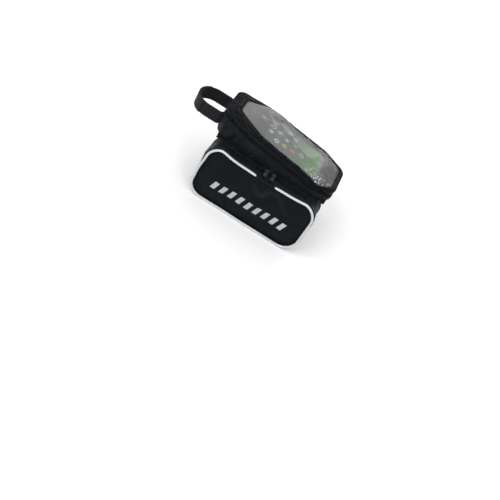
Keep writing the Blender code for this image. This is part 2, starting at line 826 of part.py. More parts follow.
def build_face(side_name, outline, placed):
    """The crowned outer panel inside the gusset's mouth, and the piping over its seam."""
    edge = inset(outline, FABRIC + SEAM_GAP)
    depth = GUSSET_FRONT_EDGE - FABRIC / 2
    centre_height = (PANNIER_TOP + PANNIER_BOTTOM) / 2
    spine = PANNIER_LENGTH / 2 - PANNIER_HEIGHT / 2
    rows = [placed(edge, depth)]
    piping_room = (PIPING_DIAMETER + SEAM_GAP) / (PANNIER_HEIGHT / 2)
    for index in range(FACE_RINGS):
        past_piping = (1 - piping_room) * (index / FACE_RINGS) ** 2
        share = piping_room + past_piping
        rise = 1 - (1 - past_piping) ** FACE_CROWN_POWER
        ring = []
        for p in edge:
            inner = Vector((min(max(p.x, -spine), spine), centre_height))
            ring.append(p.lerp(inner, share))
        rows.append(placed(ring, depth + FACE_CROWN * rise))
    sheet(f"{side_name}_face_panel", rows, FABRIC, POLYESTER, closed=True, filled=True)
    radius = PIPING_DIAMETER / 2
    ring = inset(outline, radius + SEAM_GAP)
    top = max(p.y for p in ring)
    start = Vector((PIPING_BREAK[0], top))
    end = Vector((PIPING_BREAK[1], top))
    front_top = [p for p in ring if p.x < 0 and p.y > centre_height]
    rest = ring[: len(ring) - len(front_top)]
    path = [start, *front_top, *rest, end]
    add(
        f"{side_name}_piping",
        tube_curve(f"{side_name}_piping", placed(path, PANNIER_FACE), radius),
        SILVER_PIPING,
    )
    inset_ends = (start + Vector((SEAM_GAP, 0)), end - Vector((SEAM_GAP, 0)))
    add(
        f"{side_name}_edge_binding",
        tube_curve(
            f"{side_name}_edge_binding", placed(inset_ends, PANNIER_FACE), BINDING_DIAMETER / 2
        ),
        POLYESTER,
    )


def build_pannier_zip(side_name, side, shapes):
    half = PANNIER_ZIP_LENGTH / 2
    level = PANNIER_TOP - COIL_DEPTH
    for place, sign in (("inner", -1), ("outer", 1)):
        near = side * (PANNIER_ZIP_Y + sign * TAPE_START)
        far = side * (PANNIER_ZIP_Y + sign * (TAPE_START + TAPE_WIDTH))
        rows = [[Vector((x, y, level)) for x in (-half, half)] for y in (near, far)]
        sheet(f"{side_name}_zip_tape_{place}", rows, TAPE_THICKNESS, BACKING)
        y = side * (PANNIER_ZIP_Y + sign * COIL_OFFSET)
        ends = half - COIL_RADIUS
        coil(f"{side_name}_zip_coil_{place}", [Vector((-ends, y, level)), Vector((ends, y, level))])
    step = (SLIDER_LENGTH + RUNNING_GAP) / 2
    for place, sign in (("front", -1), ("rear", 1)):
        slider_and_pull(
            (f"{side_name}_slider_{place}", f"{side_name}_pull_{place}"),
            shapes,
            Vector((PANNIER_ZIP_MEETING_X + sign * step, side * PANNIER_ZIP_Y, level)),
            Vector((-sign, 0, 0)),
            Vector((0, side, 0)),
            Vector((0, 0, 1)),
        )


build_saddle()
build_straps()
build_head_strap()
build_pouch()
build_lid()
zip_shapes = (slider_mesh(), pull_mesh())
build_pouch_zip(zip_shapes)
build_pannier("left", -1, zip_shapes)
build_pannier("right", 1, zip_shapes)
bpy.context.view_layer.update()
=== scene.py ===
import math

import bmesh
import bpy
import numpy as np
from mathutils import Matrix, Vector


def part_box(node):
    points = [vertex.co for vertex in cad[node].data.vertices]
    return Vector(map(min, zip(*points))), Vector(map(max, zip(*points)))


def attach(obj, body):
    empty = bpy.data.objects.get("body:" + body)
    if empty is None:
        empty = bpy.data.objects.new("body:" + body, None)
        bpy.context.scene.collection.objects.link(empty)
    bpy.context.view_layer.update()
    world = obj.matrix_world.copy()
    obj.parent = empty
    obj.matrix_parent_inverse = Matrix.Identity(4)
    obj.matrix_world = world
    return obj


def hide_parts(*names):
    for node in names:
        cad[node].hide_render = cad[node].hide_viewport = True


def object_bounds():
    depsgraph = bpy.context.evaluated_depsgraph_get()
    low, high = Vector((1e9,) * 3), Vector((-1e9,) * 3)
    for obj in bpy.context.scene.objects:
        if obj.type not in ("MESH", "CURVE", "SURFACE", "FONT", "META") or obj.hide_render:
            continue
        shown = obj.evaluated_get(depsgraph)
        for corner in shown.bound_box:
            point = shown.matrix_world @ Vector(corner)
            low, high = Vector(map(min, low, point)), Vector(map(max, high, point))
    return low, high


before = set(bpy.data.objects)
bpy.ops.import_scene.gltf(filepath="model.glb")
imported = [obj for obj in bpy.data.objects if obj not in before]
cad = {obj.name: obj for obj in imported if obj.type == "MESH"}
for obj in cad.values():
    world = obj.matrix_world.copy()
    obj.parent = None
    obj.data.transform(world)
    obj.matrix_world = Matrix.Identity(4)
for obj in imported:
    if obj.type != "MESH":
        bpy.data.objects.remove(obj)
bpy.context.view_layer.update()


# The view. The camera looks down on the bag's left side from in front of its middle, and is
# rolled about its own axis so that the bag runs from upper left to lower right.
CAMERA_AZIMUTH = math.radians(-2.646)
CAMERA_ELEVATION = math.radians(41.7)
CAMERA_ROLL = math.radians(33.822)
ORIGIN_FROM_LENS = Vector((0.04443, 0.145245, 1.092561))
SENSOR_WIDTH = 36.0
LENS = 50.4

level, height = math.cos(CAMERA_ELEVATION), math.sin(CAMERA_ELEVATION)
towards_camera = Vector(
    (math.sin(CAMERA_AZIMUTH) * level, -math.cos(CAMERA_AZIMUTH) * level, height)
)
level_right = (-towards_camera).cross(Vector((0, 0, 1))).normalized()
level_up = level_right.cross(-towards_camera)
camera_right = math.cos(CAMERA_ROLL) * level_right + math.sin(CAMERA_ROLL) * level_up
camera_up = -math.sin(CAMERA_ROLL) * level_right + math.cos(CAMERA_ROLL) * level_up
camera_turn = Matrix((camera_right, camera_up, towards_camera)).transposed()


def new_object(name, data):
    """An object that carries the data, placed in the scene."""
    obj = bpy.data.objects.new(name, data)
    bpy.context.scene.collection.objects.link(obj)
    return obj


lens_data = bpy.data.cameras.new("camera")
lens_data.sensor_width = SENSOR_WIDTH
lens_data.lens = LENS
lens_data.clip_start = 0.05
lens_data.clip_end = 20.0
camera = new_object("camera", lens_data)
bpy.context.scene.camera = camera
right, up, forward = ORIGIN_FROM_LENS
camera_place = towards_camera * forward - camera_right * right - camera_up * up
camera.matrix_world = Matrix.Translation(camera_place) @ camera_turn.to_4x4()


# The floor and the light. A white floor carries the bag on the panniers' feet. One broad
# soft lamp stands at the upper left, a narrower one glances along the film, a third stands
# behind, and the rest is a pale surround.
FLOOR_DROP = 0.0004
FLOOR_REACH = 12.0
FLOOR_WHITE = "#fbfbfb"
FLOOR_GLOW_FROM = (0.3, 1.6)
FLOOR_GLOW = (0.16, 0.6)
SURROUND = 0.62
KEY_LAMP = {"place": (-0.9, -1.1, 1.5), "size": 1.1, "watts": 15.0}
GLANCE_LAMP = {"place": (0.7, -1.3, 0.9), "size": 0.4, "watts": 4.5}
BACK_LAMP = {"place": (0.3, 1.5, 1.1), "size": 0.9, "watts": 6.0}


def linear(code):
    """The linear colour of an sRGB hex code."""
    shares = [int(code[start : start + 2], 16) / 255 for start in (1, 3, 5)]
    return (
        *(s / 12.92 if s <= 0.04045 else ((s + 0.055) / 1.055) ** 2.4 for s in shares),
        1.0,
    )


def feed(node, key, value):
    """Gives a node's input a value, or links a socket to it."""
    if isinstance(value, bpy.types.NodeSocket):
        node.id_data.links.new(value, node.inputs[key])
    else:
        node.inputs[key].default_value = value


def add_node(tree, kind, settings=None, inputs=None):
    """Adds a shader node. An input takes a value, or a socket to link from."""
    made = tree.nodes.new("ShaderNode" + kind)
    for key, value in (settings or {}).items():
        setattr(made, key, value)
    for key, value in (inputs or {}).items():
        feed(made, key, value)
    return made


def reckon(tree, operation, *values, clamp=False):
    """The result of arithmetic on numbers and sockets."""
    settings = {"operation": operation, "use_clamp": clamp}
    return add_node(tree, "Math", settings, dict(enumerate(values))).outputs[0]


def times(tree, first, second):
    """The product of two numbers or sockets."""
    return reckon(tree, "MULTIPLY", first, second)


def remap(tree, value, low, high, to_low, to_high):
    """A value carried from one range over to another, and held within it."""
    ends = {"From Min": low, "From Max": high, "To Min": to_low, "To Max": to_high}
    return add_node(tree, "MapRange", None, {"Value": value, **ends}).outputs[0]


def own_space(tree):
    """A point's place in the object's own space, in metres."""
    return add_node(tree, "TexCoord").outputs["Object"]


def noise(tree, scale, detail, roughness=0.5, distortion=0.0):
    """Soft noise from 0 to 1 through the object's own space."""
    inputs = {"Vector": own_space(tree), "Scale": scale, "Detail": detail}
    inputs.update({"Roughness": roughness, "Distortion": distortion})
    return add_node(tree, "TexNoise", None, inputs).outputs[0]


def blend(tree, factor, first, second):
    """A mix of two colours, each given as a hex code or a socket."""
    first, second = (linear(c) if isinstance(c, str) else c for c in (first, second))
    inputs = {"Factor": factor, 6: first, 7: second}
    return add_node(tree, "Mix", {"data_type": "RGBA"}, inputs).outputs[2]


def bump(tree, height, strength, distance, under=None):
    """A relief, laid over another one where that is given."""
    inputs = {"Strength": strength, "Distance": distance, "Height": height}
    if under is not None:
        inputs["Normal"] = under
    return add_node(tree, "Bump", None, inputs).outputs[0]


def new_material(name, **constants):
    """A material with one Principled shader, whose constant inputs are given by name."""
    material = bpy.data.materials.new(name)
    material.use_nodes = True
    shader = material.node_tree.nodes["Principled BSDF"]
    for key, value in constants.items():
        feed(shader, key.replace("_", " ").title().replace("Ior", "IOR"), value)
    return material, material.node_tree, shader


def new_mesh(name, points, faces, material, flat=None):
    """A smooth body of one material. flat gives each face corner's place on flat cloth."""
    mesh = bpy.data.meshes.new(name)
    mesh.from_pydata(points, [], faces)
    if flat is not None:
        layer = mesh.uv_layers.new(name="cloth")
        layer.data.foreach_set("uv", flat.reshape(-1).astype(np.float32))
    mesh.shade_smooth()
    mesh.materials.append(material)
    return new_object(name, mesh)


floor_material, tree, shader = new_material("matt_white_floor", roughness=0.9)
from_middle = add_node(tree, "VectorMath", {"operation": "LENGTH"}, {0: own_space(tree)})
glow = remap(tree, from_middle.outputs["Value"], *FLOOR_GLOW_FROM, *FLOOR_GLOW)
camera_ray = add_node(tree, "LightPath").outputs["Is Camera Ray"]
feed(shader, "Base Color", linear(FLOOR_WHITE))
feed(shader, "Emission Color", linear("#ffffff"))
feed(shader, "Emission Strength", times(tree, camera_ray, glow))
floor_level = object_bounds()[0].z - FLOOR_DROP
floor_corners = [(-1, -1), (1, -1), (1, 1), (-1, 1)]
floor_points = [(x * FLOOR_REACH, y * FLOOR_REACH, floor_level) for x, y in floor_corners]
floor = new_mesh("floor", floor_points, [(0, 1, 2, 3)], floor_material)

for name, lamp in (("key", KEY_LAMP), ("glance", GLANCE_LAMP), ("back", BACK_LAMP)):
    data = bpy.data.lights.new(name, "AREA")
    data.energy = lamp["watts"]
    data.size = lamp["size"]
    light = new_object(name, data)
    light.location = lamp["place"]
    light.rotation_euler = (-Vector(lamp["place"])).to_track_quat("-Z", "Y").to_euler()

world = bpy.context.scene.world or bpy.data.worlds.new("surround")
bpy.context.scene.world = world
world.use_nodes = True
tree = world.node_tree
paths = add_node(tree, "LightPath").outputs
seen = reckon(tree, "MAXIMUM", paths["Is Camera Ray"], paths["Is Transmission Ray"])
seen = reckon(tree, "MAXIMUM", seen, paths["Is Glossy Ray"])
surround = tree.nodes["Background"]
feed(surround, "Color", linear("#ffffff"))
feed(surround, "Strength", remap(tree, seen, 0.0, 1.0, SURROUND, 1.0))
bpy.context.scene.view_settings.view_transform = "Standard"


# The saddle sheet. A sheet of coated woven polyester lies over the top tube, and its two
# sides turn down along the panniers' backs, to which they are sewn.
FABRIC = 0.0015
SADDLE_THICKNESS = 0.0020
SADDLE_BEND = 0.007
THREAD_MM = 0.8  # the real 0.4 mm threads would not show, so they are drawn twice as coarse


def ripple(points, size, seed, waves=8):
    """Smooth random waves of about a size in metres, as a height near -1 to 1."""
    random = np.random.default_rng(seed)
    total = np.zeros(points.shape[:-1])
    for _ in range(waves):
        heading = random.normal(size=points.shape[-1])
        heading /= np.linalg.norm(heading)
        rate = 2 * math.pi / size * random.uniform(0.6, 1.5)
        total += np.sin(points @ heading * rate + random.uniform(0, 2 * math.pi))
    return total / math.sqrt(waves)


def arc(centre, radius, start, end, steps):
    """Points in a plane on an arc between two angles in degrees."""
    angles = np.radians(np.linspace(start, end, steps + 1))
    return np.stack(
        [centre[0] + radius * np.cos(angles), centre[1] + radius * np.sin(angles)], axis=1
    )


def spaced(path, spacing):
    """Points about a spacing apart along a polyline, and how far along it each one lies."""
    path = np.asarray(path, float)
    steps = np.linalg.norm(np.diff(path, axis=0), axis=1)
    along = np.concatenate([[0], np.cumsum(steps)])
    count = max(2, int(round(along[-1] / spacing)))
    targets = np.linspace(0, along[-1], count + 1)
    points = np.stack(
        [np.interp(targets, along, path[:, axis]) for axis in range(path.shape[1])], axis=1
    )
    return points, targets


def cloth(name, points, flat, material, thickness, closed=False, holes=None):
    """A sheet from rows of points. flat gives each point's place on the flat cloth, in
    metres, and holes marks the faces to leave out."""
    rows, columns = points.shape[:2]
    index = np.arange(rows * columns).reshape(rows, columns)
    across = columns if closed else columns - 1
    after = (np.arange(across) + 1) % columns
    here = np.arange(across)
    quads = np.stack(
        [index[:-1][:, here], index[:-1][:, after], index[1:][:, after], index[1:][:, here]],
        axis=-1,
    )
    step = flat[:, -1:] + (flat[:, -1:] - flat[:, -2:-1])
    wide = np.concatenate([flat, step], axis=1) if closed else flat
    corners = np.stack(
        [wide[:-1][:, here], wide[:-1][:, here + 1], wide[1:][:, here + 1], wide[1:][:, here]],
        axis=-2,
    )
    keep = np.ones(quads.shape[:2], bool) if holes is None else ~holes
    quads, corners = quads[keep], corners[keep]
    used, quads = np.unique(quads, return_inverse=True)
    points = points.reshape(-1, 3)[used].tolist()
    obj = new_mesh(name, points, quads.reshape(-1, 4).tolist(), material, corners)
    body = obj.modifiers.new("thickness", "SOLIDIFY")
    body.thickness = thickness
    body.offset = 0.0
    body.use_even_offset = True
    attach(obj, "root")
    return obj


def grid_of(path, across, count):
    """Rows of points beside a path: the path moved by each share of the across vector."""
    shares = np.linspace(-0.5, 0.5, count)
    return path[None, :, :] + shares[:, None, None] * np.asarray(across, float)


def flat_of(along, width, count):
    """Where the points of grid_of lie on the flat cloth."""
    across = np.linspace(-0.5, 0.5, count) * width
    u, v = np.meshgrid(along, across)
    return np.stack([u, v], axis=-1)


def on_cloth(tree):
    """The two coordinates of a point on the flat cloth, in metres."""
    place = add_node(tree, "UVMap", {"uv_map": "cloth"}).outputs[0]
    return add_node(tree, "SeparateXYZ", None, {0: place}).outputs[:2]


# Painted shade and light: the weave's colour is painted darker between the threads and lighter on
# top of them.
THREAD_PAINTED_SHADE = (0.84, 1.12)  # the colour between the threads and on top of them
ROUGHNESS_SPREAD = 0.07
CREASE_STRENGTH, CREASE_DEPTH = 0.35, 0.0012
THREAD_DEPTH = 0.00022


def woven(name, warp, weft, thread_mm, roughness, sheen, relief=0.5):
    """Plain-woven cloth: threads over and under, with painted shade between them and painted light
    on top, faint creases, and uneven dye.
    """
    material, tree, shader = new_material(
        name, sheen_weight=sheen, sheen_roughness=0.45, specular_ior_level=0.07
    )
    rate = math.pi * 1000 / thread_mm
    waves = [reckon(tree, "SINE", times(tree, axis, rate)) for axis in on_cloth(tree)]
    weave = times(tree, *waves)
    patches = noise(tree, 38.0, 4.0, roughness=0.55)
    creases = noise(tree, 110.0, 3.0, distortion=0.6)
    dyed = blend(tree, patches, warp, weft)
    # Painted shade between the threads and painted light on their tops.
    thread_shading = remap(tree, weave, -1.0, 1.0, *THREAD_PAINTED_SHADE)
    shade = add_node(tree, "VectorMath", {"operation": "SCALE"}, {0: dyed, "Scale": thread_shading})
    smoothest, roughest = roughness - ROUGHNESS_SPREAD, roughness + ROUGHNESS_SPREAD
    soft = bump(tree, creases, CREASE_STRENGTH, CREASE_DEPTH)
    feed(shader, "Base Color", shade.outputs[0])
    feed(shader, "Roughness", remap(tree, patches, 0.3, 0.7, smoothest, roughest))
    feed(shader, "Normal", bump(tree, weave, relief, THREAD_DEPTH, soft))
    return material


# Polyester oxford, coated on the back: the threads give a dull even black with a faint blue bloom
# where light grazes the folds. Its colour is painted a shade lighter than the face's copy of the
# same cloth, as painted sheen for the pouch wall and the gussets.
polyester_painted_lighter = woven("oxford_polyester_coated_painted_lighter", "#0a0e15", "#23262b", THREAD_MM, 0.38, 0.01)
# Plain lining cloth, uncoated and a shade flatter.
lining = woven("plain_lining_cloth", "#0f1013", "#15161a", THREAD_MM, 0.80, 0.03)

low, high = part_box("saddle_sheet")
side = high.y - SADDLE_THICKNESS / 2
top = high.z - SADDLE_THICKNESS / 2
shoulder = arc((side - SADDLE_BEND, top - SADDLE_BEND), SADDLE_BEND, 0, 90, 10)
half_profile = np.concatenate([[(side, low.z)], shoulder])
profile = np.concatenate([half_profile, half_profile[::-1] * (-1, 1)])
profile, along = spaced(profile, 0.002)
path = np.column_stack([np.zeros(len(profile)), profile])
saddle_points = grid_of(path, (high.x - low.x, 0, 0), 60)
saddle_points[..., 2] += 0.0002 * ripple(saddle_points, 0.05, 3) - 0.0002
flat = flat_of(along, high.x - low.x, 60)
saddle = cloth("saddle_cloth", saddle_points, flat, polyester_painted_lighter, SADDLE_THICKNESS * 0.7)
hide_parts("saddle_sheet")


# The straps. Hook and loop webbing, woven flat from nylon: two loops go round the top tube
# and one round the head tube, and the tail of each is pressed on to its own loop.
WEBBING = 0.0015
TUBE_RADIUS = 0.020
STRAP_RADIUS = 0.0206
STRAP_SEAM_LEVEL = -0.006
LAP_GAP = 0.0003
HEAD_RADIUS = 0.0236
HEAD_BEND = 0.006
RIB_MM = 1.3

webbing, tree, shader = new_material(
    "hook_and_loop_webbing",
    sheen_weight=0.08,
    sheen_roughness=0.5,
    roughness=0.85,
    specular_ior_level=0.2,
)
ribs = reckon(tree, "SINE", times(tree, on_cloth(tree)[1], 2 * math.pi * 1000 / RIB_MM))
fuzz = noise(tree, 1400.0, 2.0)
pile = reckon(tree, "MULTIPLY_ADD", ribs, 0.35, fuzz)
feed(shader, "Normal", bump(tree, pile, 0.6, 0.0004))
feed(shader, "Base Color", blend(tree, fuzz, "#090a0c", "#1b1d21"))


def strap(name, node, path, across, width):
    """A length of webbing along a path, standing for the CAD node of its place."""
    path, along = spaced(path, 0.0012)
    points, flat = grid_of(path, across, 13), flat_of(along, width, 13)
    made = cloth(name, points, flat, webbing, WEBBING * 0.86)
    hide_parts(node)


for place in ("front", "rear"):
    low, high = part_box(f"{place}_tube_strap")
    middle_x = (low.x + high.x) / 2
    width = high.x - low.x
    inner = STRAP_RADIUS + WEBBING / 2
    bottom = arc((0, -TUBE_RADIUS), inner, 180, 360, 40)
    loop = np.concatenate([[(-inner, STRAP_SEAM_LEVEL)], bottom, [(inner, STRAP_SEAM_LEVEL)]])
    outer = arc((0, -TUBE_RADIUS), inner + WEBBING + LAP_GAP, 228, 336, 30)
    for name, node, line in (
        (f"{place}_strap_loop", f"{place}_tube_strap", loop),
        (f"{place}_strap_tail", f"{place}_tube_strap_tail", outer),
    ):
        line = np.column_stack([np.full(len(line), middle_x), line])
        strap(name, node, line, (width, 0, 0), width)

low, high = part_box("head_tube_strap")
head_width = high.z - low.z
head_level = (high.z + low.z) / 2
head_inner = HEAD_RADIUS + WEBBING / 2
head_centre = low.x + WEBBING / 2 + head_inner
head_back = high.x - WEBBING / 2
turn_in = arc((head_back - HEAD_BEND, head_inner - HEAD_BEND), HEAD_BEND, 0, 90, 8)
turn_out = (turn_in * (1, -1))[::-1]
round_head = arc((head_centre, 0), head_inner, 90, 270, 40)
seam = [(head_back, 0)]
head_loop = np.concatenate([seam, turn_in, round_head, turn_out, seam])
head_tail = arc((head_centre, 0), head_inner + WEBBING + LAP_GAP, 124, 247, 36)
for name, node, line, rests_on in (
    ("head_strap_loop", "head_tube_strap", head_loop, ["pouch_wall"]),
    ("head_strap_tail", "head_tube_strap_tail", head_tail, ["head_strap_loop"]),
):
    line = np.column_stack([line, np.full(len(line), head_level)])
    strap(name, node, line, (0, 0, head_width), head_width)


# The panniers' back panels. Plain panels of lining cloth over board, which lie along the
# saddle's turned sides; the gusset is sewn round their edge.
SIDES = (("left", -1), ("right", 1))
TOP_CORNER = 0.027
FRONT_FOOT = 0.026
REAR_FOOT = 0.030


def edge_distance(x, z, low, high):
    """How far each point lies inside a pannier's rounded outline."""
    centre_x, centre_z = (low.x + high.x) / 2, (low.z + high.z) / 2
    foot = np.where(x < centre_x, FRONT_FOOT, REAR_FOOT)
    radius = np.where(z > centre_z, TOP_CORNER, foot)
    over_x = np.abs(x - centre_x) - (high.x - low.x) / 2 + radius
    over_z = np.abs(z - centre_z) - (high.z - low.z) / 2 + radius
    outside = np.hypot(np.maximum(over_x, 0), np.maximum(over_z, 0))
    return radius - outside - np.minimum(np.maximum(over_x, over_z), 0)


def panel_grid(low, high, inset, columns, rows):
    """A grid of x and z that fills the rounded outline, inset, with rows closer together
    near its top and bottom, where the outline turns."""
    bottom, top = low.z + inset, high.z - inset
    z = (bottom + top) / 2 + (top - bottom) / 2 * np.sin(np.linspace(-1, 1, rows) * math.pi / 2)
    ends = []
    for foot, end, sign in ((FRONT_FOOT, low.x + inset, 1), (REAR_FOOT, high.x - inset, -1)):
        into_foot = np.clip(foot - inset - (z - bottom), 0, None)
        into_top = np.clip(TOP_CORNER - inset - (top - z), 0, None)
        foot_reach, top_reach = foot - inset, TOP_CORNER - inset
        cut = foot_reach - np.sqrt(np.maximum(foot_reach**2 - into_foot**2, 0))
        cut += top_reach - np.sqrt(np.maximum(top_reach**2 - into_top**2, 0))
        ends.append(end + sign * cut)
    share = np.linspace(0, 1, columns)
    x = ends[0][:, None] * (1 - share) + ends[1][:, None] * share
    return x, np.broadcast_to(z[:, None], x.shape)


for name, side in SIDES:
    node = f"{name}_back_panel"
    low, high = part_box(node)
    x, z = panel_grid(low, high, 0.0002, 100, 60)
    y = np.full(x.shape, (low.y + high.y) / 2)
    points, flat = np.stack([x, y, z], -1), np.stack([x, z], -1)
    made = cloth(f"{name}_back", points, flat, lining, FABRIC * 0.95)
    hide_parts(node)


# The gussets. One strip of coated polyester runs round each pannier between its back and
# its face, with a long opening in the top for the zip. It sags a little between its seams.
ZIP_OPENING = 0.0076
ZIP_LENGTH = 0.136
ZIP_FROM_FACE = 0.017
GUSSET_SAG = 0.0018
PIPING_RADIUS = 0.0022
SETTLING_FRAMES = 10


def settle(obj, held, growth, cap, pressure=0.0):
    """Lets cloth that was cut a share too large buckle between the points that are held,
    and applies the result, with no point moved further than the cap."""
    seams = obj.vertex_groups.new(name="seams")
    seams.add([int(i) for i in held], 1.0, "REPLACE")
    body = obj.modifiers["thickness"]
    body.show_viewport = False
    press = obj.modifiers.new("settling", "CLOTH")
    rules = press.settings
    rules.quality = 5
    rules.mass = 0.12
    rules.tension_stiffness = 12
    rules.compression_stiffness = 12
    rules.shear_stiffness = 4
    rules.bending_stiffness = 0.35
    rules.shrink_min = -growth
    rules.vertex_group_mass = "seams"
    rules.effector_weights.gravity = 0
    rules.use_pressure = pressure != 0
    rules.uniform_pressure_force = pressure
    stage_scene = bpy.context.scene
    for frame_number in range(1, SETTLING_FRAMES + 1):
        stage_scene.frame_set(frame_number)
    shown = obj.evaluated_get(bpy.context.evaluated_depsgraph_get())
    before = np.empty(len(obj.data.vertices) * 3)
    obj.data.vertices.foreach_get("co", before)
    after = np.empty_like(before)
    shown.data.vertices.foreach_get("co", after)
    obj.modifiers.remove(press)
    stage_scene.frame_set(1)
    moved = (after - before).reshape(-1, 3)
    length = np.linalg.norm(moved, axis=1, keepdims=True)
    moved *= np.minimum(1.0, cap / np.maximum(length, 1e-9))
    obj.data.vertices.foreach_set("co", (before.reshape(-1, 3) + moved).reshape(-1))
    obj.data.update()
    body.show_viewport = True


def corner_arc(corners, i):
    """The centre, radius, first normal and turn of the arc at corner i of a polygon."""
    corner, radius = Vector(corners[i][:2]), corners[i][2]
    arriving = (corner - Vector(corners[i - 1][:2])).normalized()
    leaving = (Vector(corners[(i + 1) % len(corners)][:2]) - corner).normalized()
    turn = arriving.angle(leaving, 0.0)
    normal = Vector((arriving.y, -arriving.x))
    centre = corner - arriving * radius * math.tan(turn / 2) - normal * radius
    return centre, radius, normal, turn


def rounded(corners, spacing):
    """Points and outward normals round a polygon of (a, b, radius) corners, anticlockwise,
    with the distance along it. A corner of radius 0 on a straight run is only passed."""
    line, normals = [], []
    for i in range(len(corners)):
        centre, radius, normal, turn = corner_arc(corners, i)
        steps = max(1, round(radius * turn / spacing)) if radius else 0
        for step in range(steps + 1):
            turned = Matrix.Rotation(turn * step / steps if steps else 0, 2) @ normal
            line.append(centre + turned * radius)
            normals.append(turned)
    points, outward = [], []
    for i, (here, normal) in enumerate(zip(line, normals)):
        ahead = line[(i + 1) % len(line)]
        gaps = max(1, round((ahead - here).length / spacing))
        for step in range(gaps):
            points.append(here.lerp(ahead, step / gaps))
            outward.append(normal.lerp(normals[(i + 1) % len(line)], step / gaps).normalized())
    points, outward = np.array(points), np.array(outward)
    lengths = np.linalg.norm(np.roll(points, -1, axis=0) - points, axis=1)
    along = np.concatenate([[0], np.cumsum(lengths)[:-1]])
    return points, outward, along


def pannier_loop(low, high, spacing, inset, stops):
    """A pannier's outline in x and z, inset, with stops at given x on its top edge."""
    corners = [
        (low.x + inset, low.z + inset, FRONT_FOOT - inset),
        (high.x - inset, low.z + inset, REAR_FOOT - inset),
        (high.x - inset, high.z - inset, TOP_CORNER - inset),
        *((x, high.z - inset, 0.0) for x in sorted(stops, reverse=True)),
        (low.x + inset, high.z - inset, TOP_CORNER - inset),
    ]
    return rounded(corners, spacing)


SLUMP_FROM = 0.0590
SLUMP_FULL = 0.0675
SLUMP_DEPTH = 0.040
EVENLY_PACKED = 0.6
# Height, place along the bag and reach of each rise and dip of the top edge.
TOP_EDGE = ((0.0042, -0.075, 0.0165), (0.0025, 0.078, 0.020), (-0.0021, 0.003, 0.019))
DRAWN_IN = 0.0030
PULL_CLEARANCE = 0.0004
PULL_REACH = 0.0600
PULL_PATH = (0.0555, 0.0686)


def hump(x, centre, reach):
    """1 at the centre, fading to 0 beyond its reach."""
    return np.exp(-(((x - centre) / reach) ** 2))


def slump(points, side):
    """Moves a pannier's outer points as its load and its seams pull them: the top edge
    rises towards its ends, sags between them, and draws in over the front corner. It
    leaves the zip as it is. The right pannier is packed a little more evenly."""
    x, y, z = points[..., 0], np.abs(points[..., 1]), points[..., 2]
    share = 1.0 if side < 0 else EVENLY_PACKED
    outer = np.clip((y - SLUMP_FROM) / (SLUMP_FULL - SLUMP_FROM), 0, 1)
    outer = outer * outer * (3 - 2 * outer) * share
    near_top = np.clip((z + SLUMP_DEPTH) / SLUMP_DEPTH, 0, 1) ** 1.5
    rise = sum(height * hump(x, centre, reach) for height, centre, reach in TOP_EDGE)
    drawn = DRAWN_IN * hump(z, -0.022, 0.015) * np.clip((-0.080 - x) / 0.017, 0, 1)
    moved = points.copy()
    moved[..., 2] += outer * near_top * rise
    moved[..., 0] += outer * drawn
    return moved


def press_down(obj, side, limit):
    """Keeps settled cloth under the pulls, which brush over it as their sliders run."""
    for vertex in obj.data.vertices:
        x, y = abs(vertex.co.x), side * vertex.co.y
        if x < PULL_REACH + 0.0020 and PULL_PATH[0] < y < PULL_PATH[1]:
            vertex.co.z = min(vertex.co.z, limit)


for name, side in SIDES:
    node = f"{name}_gusset"
    low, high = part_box(node)
    inner_y, outer_y = sorted((abs(low.y), abs(high.y)))
    zip_y = abs(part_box(f"{name}_piping")[0 if side < 0 else 1].y) - PIPING_RADIUS - ZIP_FROM_FACE
    stops = (-ZIP_LENGTH / 2, ZIP_LENGTH / 2)
    loop, normals, along = pannier_loop(low, high, 0.0021, FABRIC / 2, stops)
    lips = (zip_y - ZIP_OPENING / 2, zip_y + ZIP_OPENING / 2)
    outer_strip = np.linspace(lips[1], outer_y, 8)
    depths = np.concatenate([np.linspace(inner_y, lips[0], 12), outer_strip])
    x = np.broadcast_to(loop[:, 0], (len(depths), len(loop)))
    z = np.broadcast_to(loop[:, 1], x.shape)
    y = np.broadcast_to(depths[:, None], x.shape)
    between = np.sin(np.pi * (y - inner_y) / (outer_y - inner_y))
    on_top = (normals[:, 1] > 0.97) & (np.abs(loop[:, 0]) < ZIP_LENGTH / 2 + 0.006)
    calm = np.where(on_top, 0.12, 1.0)
    calm = np.convolve(np.concatenate([calm[-4:], calm, calm[:4]]), np.ones(9) / 9, "valid")
    folds = ripple(np.stack([x, y * 0.7, z], -1), 0.040, 11 + side)
    turned = np.abs(normals[:, 0] * normals[:, 1]) * 2
    gathers = np.sin(along / 0.0052 + 3 * y / (outer_y - inner_y)) * turned
    dip = between * calm * (GUSSET_SAG * (0.55 + 0.45 * folds) + 0.00035 * gathers)
    points = np.stack([x - normals[:, 0] * dip, side * y, z - normals[:, 1] * dip], axis=-1)
    points = slump(points, side)
    holes = np.zeros((len(depths) - 1, len(loop)), bool)
    column = (loop[:, 1] > high.z - FABRIC) & (loop[:, 0] > -ZIP_LENGTH / 2 + 1e-6)
    holes[11] = column & (loop[:, 0] < ZIP_LENGTH / 2 + 1e-6)
    flat = np.stack([np.broadcast_to(along, x.shape), y], -1)
    if side > 0:
        points, flat, holes = points[::-1], flat[::-1], holes[::-1]
    title, thick = f"{name}_gusset_cloth", FABRIC * 0.9
    made = cloth(title, points, flat, polyester_painted_lighter, thick, closed=True, holes=holes)
    place = np.array([v.co for v in made.data.vertices])
    deep = np.abs(place[:, 1])
    by_edge = (np.abs(deep - inner_y) < 1e-4) | (np.abs(deep - outer_y) < 1e-4)
    by_zip = (place[:, 2] > high.z - 0.004) & (np.abs(place[:, 0]) < ZIP_LENGTH / 2 + 0.001)
    by_zip &= np.abs(deep - zip_y) < ZIP_OPENING / 2 + 0.0006
    settle(made, np.flatnonzero(by_edge | by_zip), 0.02, 0.0024)
    press_down(made, side, high.z - FABRIC / 2 + PULL_CLEARANCE)
    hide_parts(node)


